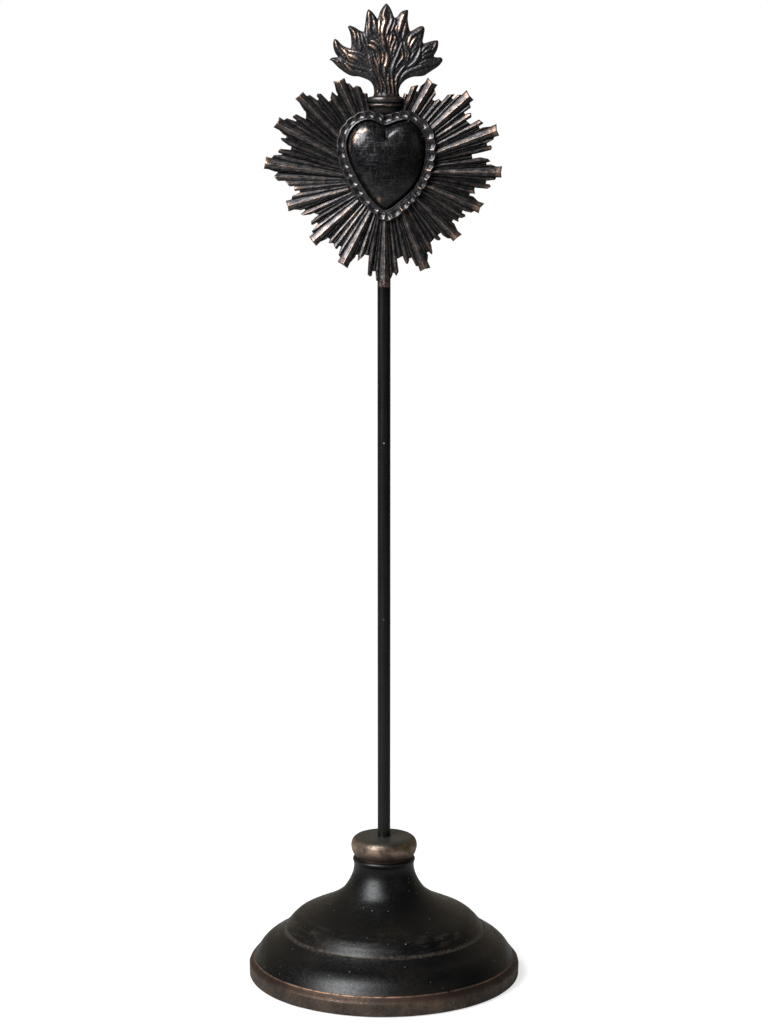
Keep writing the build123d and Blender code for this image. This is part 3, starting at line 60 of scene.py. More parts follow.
# ---------------------------------------------------------------- measured outlines (X, Z)
# ray strips, clockwise from the neck: kind, left root, tip from left to right, right root
# M main ridge, L and R its lower side strips, S small ridge, V valley
RAYS = [
    ("S", (2.57, 330.40), [(7.47, 345.71), (8.94, 345.28)], (3.25, 330.24)),
    ("S", (3.25, 330.24), [(10.02, 348.11), (12.64, 348.80), (12.85, 348.39)], (4.20, 329.95)),
    ("V", (4.20, 329.95), [(12.00, 346.59), (12.64, 346.32)], (4.47, 329.85)),
    ("L", (4.47, 329.85), [(13.69, 348.43), (15.34, 349.71)], (4.78, 329.73)),
    ("M", (4.78, 329.73), [(16.31, 351.53), (17.87, 349.65), (20.00, 348.86)], (6.43, 328.93)),
    ("R", (6.43, 328.93), [(18.86, 347.18), (19.39, 345.23)], (7.07, 328.53)),
    ("V", (7.07, 328.53), [(18.07, 343.44), (18.94, 342.82)], (7.53, 328.21)),
    ("S", (7.53, 328.21), [(19.05, 342.96), (20.43, 343.63), (21.59, 342.68)], (8.40, 327.52)),
    ("S", (8.40, 327.52), [(23.73, 345.14), (26.22, 345.38), (26.16, 344.93)], (9.05, 326.91)),
    ("V", (9.05, 326.91), [(25.27, 344.00), (25.83, 343.45)], (9.30, 326.65)),
    ("L", (9.30, 326.65), [(27.51, 345.17), (29.06, 345.17)], (9.62, 326.30)),
    ("M", (9.62, 326.30), [(30.81, 346.87), (31.85, 344.86), (33.48, 343.27)], (10.60, 325.02)),
    ("R", (10.60, 325.02), [(31.97, 342.07), (32.41, 340.41)], (10.88, 324.58)),
    ("V", (10.88, 324.58), [(29.93, 338.58), (30.39, 337.92)], (11.03, 324.32)),
    ("S", (11.03, 324.32), [(30.85, 338.24), (32.56, 338.48), (32.69, 336.78)], (11.41, 323.63)),
    ("V", (11.41, 323.63), [(30.76, 335.59), (32.33, 334.27)], (11.71, 322.98)),
    ("S", (11.71, 322.98), [(35.53, 336.02), (37.27, 334.67), (35.57, 333.55)], (11.98, 322.29)),
    ("V", (11.98, 322.29), [(35.47, 333.50), (35.86, 332.60)], (12.09, 321.97)),
    ("L", (12.09, 321.97), [(36.98, 333.10), (39.86, 333.44)], (12.17, 321.72)),
    ("M", (12.17, 321.72), [(42.02, 334.35), (42.10, 332.11), (43.14, 330.08)], (12.49, 320.47)),
    ("R", (12.49, 320.47), [(41.22, 329.48), (40.90, 328.54), (38.54, 327.23)], (12.57, 320.04)),
    ("V", (12.57, 320.04), [(38.47, 327.21), (38.70, 326.24)], (12.62, 319.72)),
    ("S", (12.62, 319.72), [(39.85, 326.53), (40.46, 325.85), (39.99, 324.69), (34.75, 323.39)], (12.69, 319.05)),
    ("V", (12.69, 319.05), [(32.92, 323.03), (33.12, 321.55)], (12.72, 318.48)),
    ("S", (12.72, 318.48), [(36.08, 322.00), (39.04, 321.44), (39.90, 320.47), (38.50, 320.05)], (12.73, 317.71)),
    ("V", (12.73, 317.71), [(38.39, 320.04), (38.43, 319.25)], (12.72, 317.44)),
    ("L", (12.72, 317.44), [(40.04, 319.36), (42.12, 318.56)], (12.70, 317.15)),
    ("M", (12.70, 317.15), [(44.25, 318.66), (43.84, 316.60), (44.03, 314.45)], (12.59, 316.11)),
    ("R", (12.59, 316.11), [(42.19, 314.55), (41.54, 313.57), (38.29, 313.24)], (12.53, 315.76)),
    ("V", (12.53, 315.76), [(38.37, 313.23), (38.22, 312.14)], (12.48, 315.50)),
    ("S", (12.48, 315.50), [(39.63, 311.95), (40.13, 311.24), (38.88, 310.26), (34.81, 310.57)], (12.36, 314.98)),
    ("V", (12.36, 314.98), [(34.08, 310.72), (33.84, 309.67)], (12.28, 314.70)),
    ("S", (12.28, 314.70), [(33.98, 309.63), (34.25, 308.43), (32.47, 308.50)], (12.17, 314.31)),
    ("V", (12.17, 314.31), [(32.29, 308.55), (32.09, 307.87)], (12.11, 314.11)),
    ("L", (12.11, 314.11), [(33.59, 307.40), (35.37, 305.61)], (12.01, 313.83)),
    ("M", (12.01, 313.83), [(37.67, 304.80), (36.07, 303.22), (35.56, 301.13)], (11.58, 312.77)),
    ("R", (11.58, 312.77), [(33.86, 301.96), (32.73, 301.35), (30.44, 301.84)], (11.33, 312.25)),
    ("V", (11.33, 312.25), [(29.71, 302.24), (29.24, 301.37)], (11.16, 311.93)),
    ("S", (11.16, 311.93), [(30.60, 300.58), (30.58, 299.88), (29.07, 299.30), (28.25, 299.48)], (10.76, 311.26)),
    ("V", (10.76, 311.26), [(28.28, 299.46), (27.85, 298.83)], (10.61, 311.03)),
    ("S", (10.61, 311.03), [(28.07, 298.68), (27.96, 297.88), (26.54, 298.48)], (10.38, 310.71)),
    ("V", (10.38, 310.71), [(26.15, 298.78), (25.54, 297.97)], (10.16, 310.40)),
    ("L", (10.16, 310.40), [(26.50, 297.20), (27.74, 294.56)], (9.89, 310.06)),
    ("M", (9.89, 310.06), [(29.27, 293.23), (27.50, 292.05), (26.05, 290.60)], (8.96, 309.04)),
    ("R", (8.96, 309.04), [(25.03, 291.71), (23.95, 291.73), (22.24, 292.73)], (8.58, 308.68)),
    ("V", (8.58, 308.68), [(21.32, 293.82), (20.32, 292.99)], (8.19, 308.34)),
    ("S", (8.19, 308.34), [(21.35, 291.69), (21.11, 291.02), (19.95, 290.99), (19.05, 291.64)], (7.61, 307.88)),
    ("V", (7.61, 307.88), [(18.98, 291.73), (17.44, 290.03)], (6.87, 307.38)),
    ("S", (6.87, 307.38), [(17.79, 289.45), (18.25, 286.66), (18.12, 285.59), (17.07, 286.44)], (6.19, 306.98)),
    ("V", (6.19, 306.98), [(16.92, 286.73), (16.15, 286.33)], (5.91, 306.83)),
    ("L", (5.91, 306.83), [(16.63, 285.36), (16.41, 283.16)], (5.55, 306.65)),
    ("M", (5.55, 306.65), [(17.54, 280.70), (15.44, 280.31), (13.58, 279.33)], (4.35, 306.14)),
    ("R", (4.35, 306.14), [(12.89, 281.32), (12.04, 281.27), (10.58, 284.13)], (3.92, 305.99)),
    ("V", (3.92, 305.99), [(10.48, 284.45), (9.41, 284.14)], (3.54, 305.88)),
    ("S", (3.54, 305.88), [(9.54, 283.67), (9.03, 282.10), (8.18, 282.32), (7.20, 284.41)], (2.80, 305.69)),
    ("V", (2.80, 305.69), [(7.07, 285.04), (4.91, 284.01)], (1.97, 305.53)),
    ("S", (1.97, 305.53), [(5.57, 279.16), (4.58, 277.55), (3.89, 278.66)], (1.42, 305.46)),
    ("V", (1.42, 305.46), [(3.88, 278.73), (3.26, 278.68)], (1.22, 305.44)),
    ("L", (1.22, 305.44), [(3.30, 278.15), (2.24, 276.00)], (0.86, 305.41)),
    ("M", (0.86, 305.41), [(2.36, 273.29), (0.08, 273.61), (-2.12, 273.35)], (-0.13, 305.38)),
    ("R", (-0.13, 305.38), [(-1.98, 275.61), (-2.97, 275.86), (-3.24, 278.90)], (-0.42, 305.39)),
    ("V", (-0.42, 305.39), [(-3.20, 279.27), (-4.32, 279.38)], (-0.62, 305.40)),
    ("S", (-0.62, 305.40), [(-4.56, 277.67), (-5.32, 277.38), (-6.22, 278.15), (-5.79, 284.79)], (-1.16, 305.43)),
    ("V", (-1.16, 305.43), [(-5.68, 285.27), (-7.40, 285.61)], (-1.57, 305.48)),
    ("S", (-1.57, 305.48), [(-7.51, 285.25), (-8.86, 284.03), (-9.91, 283.26), (-9.81, 285.15)], (-2.04, 305.55)),
    ("V", (-2.04, 305.55), [(-9.71, 285.44), (-10.44, 285.66)], (-2.21, 305.57)),
    ("L", (-2.21, 305.57), [(-10.88, 284.62), (-12.85, 282.51)], (-2.35, 305.60)),
    ("M", (-2.35, 305.60), [(-13.76, 280.51), (-15.52, 281.94), (-17.47, 282.96)], (-3.52, 305.87)),
    ("R", (-3.52, 305.87), [(-16.47, 284.60), (-17.15, 285.62), (-16.21, 288.41)], (-4.20, 306.09)),
    ("V", (-4.20, 306.09), [(-16.11, 288.56), (-16.78, 288.94)], (-4.50, 306.20)),
    ("S", (-4.50, 306.20), [(-17.61, 287.77), (-18.24, 287.79), (-18.96, 289.39)], (-5.28, 306.52)),
    ("V", (-5.28, 306.52), [(-18.82, 289.57), (-19.56, 290.07)], (-5.61, 306.67)),
    ("S", (-5.61, 306.67), [(-19.71, 289.90), (-20.90, 290.01), (-20.42, 291.34)], (-6.15, 306.96)),
    ("V", (-6.15, 306.96), [(-20.37, 291.40), (-21.08, 291.95)], (-6.48, 307.14)),
    ("L", (-6.48, 307.14), [(-21.44, 291.57), (-23.94, 290.47)], (-6.84, 307.36)),
    ("M", (-6.84, 307.36), [(-25.52, 288.90), (-26.88, 290.61), (-28.12, 292.38)], (-7.97, 308.16)),
    ("R", (-7.97, 308.16), [(-26.61, 293.56), (-27.15, 294.45), (-24.89, 297.01)], (-8.41, 308.53)),
    ("V", (-8.41, 308.53), [(-24.80, 297.08), (-25.29, 297.67)], (-8.59, 308.69)),
    ("S", (-8.59, 308.69), [(-26.65, 296.78), (-27.40, 296.95), (-27.37, 298.16), (-24.89, 300.36)], (-9.12, 309.20)),
    ("V", (-9.12, 309.20), [(-24.56, 300.54), (-26.41, 301.20)], (-9.45, 309.55)),
    ("S", (-9.45, 309.55), [(-27.46, 300.68), (-30.22, 300.37), (-31.33, 300.81), (-29.68, 302.18)], (-9.93, 310.11)),
    ("V", (-9.93, 310.11), [(-29.61, 302.21), (-29.88, 302.71)], (-10.03, 310.24)),
    ("L", (-10.03, 310.24), [(-31.08, 302.26), (-33.72, 302.54)], (-10.22, 310.49)),
    ("M", (-10.22, 310.49), [(-35.87, 301.82), (-36.11, 303.93), (-36.90, 305.79)], (-10.86, 311.42)),
    ("R", (-10.86, 311.42), [(-34.79, 306.25), (-34.42, 307.53), (-31.75, 308.83)], (-11.20, 312.00)),
    ("V", (-11.20, 312.00), [(-31.56, 308.86), (-31.77, 309.63)], (-11.32, 312.23)),
    ("S", (-11.32, 312.23), [(-33.31, 309.43), (-33.73, 309.88), (-33.54, 311.27)], (-11.58, 312.77)),
    ("S", (-11.58, 312.77), [(-35.50, 311.13), (-37.01, 313.21)], (-11.83, 313.34)),
    ("S", (-11.83, 313.34), [(-39.80, 313.19), (-41.24, 314.97), (-39.97, 316.31)], (-12.12, 314.15)),
    ("V", (-12.12, 314.15), [(-39.89, 316.31), (-39.90, 316.55)], (-12.14, 314.21)),
    ("L", (-12.14, 314.21), [(-40.80, 316.63), (-43.29, 317.56)], (-12.19, 314.36)),
    ("M", (-12.19, 314.36), [(-45.01, 317.73), (-44.47, 319.97), (-44.22, 322.19)], (-12.50, 315.60)),
    ("R", (-12.50, 315.60), [(-42.12, 321.76), (-41.25, 322.86), (-38.29, 322.98)], (-12.61, 316.29)),
    ("V", (-12.61, 316.29), [(-38.29, 322.98), (-38.25, 323.29)], (-12.63, 316.40)),
    ("S", (-12.63, 316.40), [(-39.48, 323.62), (-39.67, 324.14), (-38.92, 325.14), (-35.03, 324.80)], (-12.71, 317.28)),
    ("V", (-12.71, 317.28), [(-34.96, 324.78), (-34.69, 325.98)], (-12.73, 317.77)),
    ("S", (-12.73, 317.77), [(-35.68, 326.35), (-38.20, 328.21), (-38.73, 329.21), (-36.93, 329.11)], (-12.72, 318.56)),
    ("V", (-12.72, 318.56), [(-36.76, 329.04), (-36.49, 329.87)], (-12.70, 318.88)),
    ("L", (-12.70, 318.88), [(-37.61, 330.39), (-39.18, 332.09)], (-12.68, 319.19)),
    ("M", (-12.68, 319.19), [(-41.33, 333.14), (-39.88, 334.93), (-39.09, 336.89)], (-12.46, 320.62)),
    ("R", (-12.46, 320.62), [(-37.37, 335.84), (-36.36, 336.52), (-33.36, 335.51)], (-12.30, 321.27)),
    ("V", (-12.30, 321.27), [(-33.05, 335.30), (-32.80, 335.76)], (-12.25, 321.48)),
    ("S", (-12.25, 321.48), [(-34.02, 336.61), (-34.05, 337.32), (-32.84, 338.02), (-29.57, 336.39)], (-11.94, 322.40)),
    ("V", (-11.94, 322.40), [(-29.25, 336.13), (-29.17, 338.32), (-29.41, 339.00)], (-11.61, 323.21)),
    ("L", (-11.61, 323.21), [(-29.96, 339.50), (-31.69, 342.31)], (-11.45, 323.55)),
    ("M", (-11.45, 323.55), [(-33.16, 343.67), (-31.61, 344.85), (-30.24, 346.24)], (-10.73, 324.82)),
    ("R", (-10.73, 324.82), [(-28.87, 344.73), (-27.71, 345.17), (-25.14, 343.35)], (-10.29, 325.47)),
    ("V", (-10.29, 325.47), [(-24.92, 343.09), (-24.36, 343.63)], (-10.07, 325.76)),
    ("S", (-10.07, 325.76), [(-25.17, 344.65), (-24.85, 345.63), (-23.51, 345.56), (-21.06, 343.13)], (-9.37, 326.58)),
    ("V", (-9.37, 326.58), [(-20.69, 342.62), (-19.76, 343.36)], (-8.96, 327.00)),
    ("S", (-8.96, 327.00), [(-20.07, 343.82), (-19.47, 346.38), (-17.76, 344.99)], (-8.02, 327.84)),
    ("V", (-8.02, 327.84), [(-17.67, 344.83), (-17.20, 345.12)], (-7.80, 328.01)),
    ("L", (-7.80, 328.01), [(-17.83, 346.26), (-18.49, 349.09)], (-7.50, 328.23)),
    ("M", (-7.50, 328.23), [(-19.02, 350.10), (-16.60, 350.24), (-14.76, 351.42)], (-6.02, 329.15)),
    ("R", (-6.02, 329.15), [(-13.99, 349.47), (-12.80, 349.33), (-11.66, 348.04)], (-5.44, 329.45)),
    ("S", (-5.44, 329.45), [(-11.58, 347.79), (-10.29, 348.56), (-8.74, 348.11), (-8.02, 346.75)], (-4.22, 329.94)),
    ("S", (-4.22, 329.94), [(-7.85, 345.99), (-6.16, 345.61)], (-3.55, 330.16)),
    ("V", (-3.55, 330.16), [(-5.77, 343.32), (-2.73, 343.82), (0.46, 343.95), (3.63, 343.71), (6.64, 343.11)], (2.57, 330.40)),
]
HEART_LEFT = [
    (0.37, 333.04), (-1.49, 334.00), (-3.36, 335.00), (-5.41, 335.48), (-7.91, 335.00), (-10.19, 333.71), (-12.14, 331.30),
    (-13.19, 328.86), (-13.46, 325.97), (-13.05, 323.38), (-12.23, 320.82), (-11.19, 318.22), (-9.88, 315.65), (-8.28, 312.97),
    (-6.63, 310.29), (-4.95, 307.69), (-3.08, 305.41), (-1.05, 303.62), (0.49, 302.87),
]
HEART_RIGHT = [
    (0.37, 333.04), (1.83, 333.63), (4.11, 334.56), (6.34, 335.22), (8.32, 335.48), (10.26, 334.89), (12.21, 333.37),
    (13.82, 331.12), (14.68, 328.86), (15.03, 325.97), (14.99, 323.38), (14.66, 320.82), (14.11, 318.22), (13.22, 315.39),
    (11.91, 312.75), (9.97, 310.07), (7.46, 307.80), (5.10, 305.86), (2.59, 303.92), (0.49, 302.87),
]
BORDER_LEFT = [
    (0.11, 337.17), (-1.86, 338.16), (-4.10, 338.90), (-6.33, 339.23), (-8.57, 338.75), (-10.80, 337.61), (-12.85, 336.17),
    (-14.61, 334.40), (-16.14, 332.19), (-17.08, 329.60), (-17.46, 326.83), (-17.32, 324.05), (-16.73, 321.09), (-15.77, 318.12),
    (-14.47, 315.15), (-12.83, 312.00), (-11.00, 309.02), (-8.80, 306.23), (-6.37, 303.81), (-3.93, 301.76), (-1.50, 299.71),
    (0.86, 298.10),
]
BORDER_RIGHT = [
    (0.11, 337.17), (1.30, 337.61), (2.79, 338.16), (5.21, 338.86), (7.82, 339.20), (10.43, 338.61), (13.04, 337.28),
    (15.39, 335.32), (17.26, 333.04), (18.50, 330.45), (19.07, 327.53), (19.08, 324.42), (18.60, 321.09), (17.79, 317.94),
    (16.56, 314.60), (14.89, 311.44), (12.84, 308.46), (10.60, 305.75), (8.17, 303.32), (5.55, 301.27), (3.00, 299.37),
    (0.86, 298.10),
]
BORDER_CUSPS = [
    (0.11, 337.28), (-3.35, 338.61), (-7.26, 339.12), (-11.18, 337.43), (-14.53, 334.66), (-16.71, 330.64), (-17.43, 325.16),
    (-16.70, 321.02), (-15.40, 317.08), (-13.76, 313.74), (-11.97, 310.40), (-9.66, 307.12), (-6.55, 303.88), (-2.81, 300.83),
    (0.00, 298.55), (3.37, 299.15), (7.12, 302.06), (9.85, 304.59), (12.20, 307.20), (14.22, 310.03), (16.30, 313.56),
    (17.64, 317.01), (18.60, 320.72), (19.04, 324.79), (18.80, 329.23), (17.15, 333.48), (13.41, 336.98), (9.31, 338.97),
    (5.40, 338.86), (2.53, 338.09),
]
FLAME = [
    (-3.76, 345.08), (-3.76, 346.92), (-4.24, 348.83), (-5.47, 350.30), (-7.44, 351.22), (-9.48, 351.84), (-11.71, 351.99),
    (-13.75, 352.80), (-15.61, 354.04), (-17.24, 355.36), (-18.20, 356.35), (-19.13, 357.34), (-20.24, 358.15), (-19.50, 358.73),
    (-18.38, 358.95), (-17.23, 359.06), (-18.04, 360.31), (-18.63, 361.77), (-18.92, 363.42), (-18.81, 364.88), (-18.32, 365.68),
    (-17.29, 365.25), (-16.21, 364.08), (-15.03, 363.13), (-13.73, 362.54), (-12.43, 362.25), (-12.17, 363.78), (-12.24, 365.61),
    (-12.50, 367.44), (-12.98, 368.90), (-13.42, 370.07), (-13.12, 370.54), (-11.86, 370.36), (-10.56, 369.77), (-9.27, 368.97),
    (-8.05, 368.39), (-7.56, 368.39), (-7.19, 369.99), (-6.93, 371.82), (-6.70, 373.64), (-6.37, 375.46), (-5.78, 376.48),
    (-4.96, 376.08), (-4.07, 375.24), (-3.26, 374.22), (-2.37, 373.09), (-1.93, 374.29), (-1.48, 375.64), (-0.67, 376.99),
    (0.30, 378.26), (0.85, 378.66), (1.59, 378.08), (2.44, 376.81), (3.11, 375.39), (3.96, 373.42), (4.78, 373.71),
    (5.63, 374.80), (6.52, 375.68), (7.59, 376.12), (8.89, 376.23), (8.93, 374.73), (8.82, 372.91), (9.04, 371.09),
    (9.38, 369.45), (9.75, 368.53), (10.75, 368.93), (11.97, 369.63), (13.08, 370.21), (14.45, 370.36), (15.09, 369.55),
    (14.94, 367.80), (14.58, 365.98), (14.39, 364.88), (14.69, 364.11), (16.14, 364.44), (17.62, 364.88), (19.10, 365.14),
    (20.03, 365.10), (20.22, 363.78), (19.93, 362.14), (19.16, 360.49), (18.57, 359.28), (19.68, 358.95), (20.98, 358.95),
    (21.76, 358.37), (21.76, 357.56), (21.10, 356.54), (19.69, 355.22), (17.84, 354.04), (16.17, 352.94), (14.68, 352.10),
    (12.64, 351.88), (10.78, 351.73), (8.92, 351.11), (7.25, 349.93), (6.10, 348.39), (5.58, 346.74), (5.69, 345.08),
]
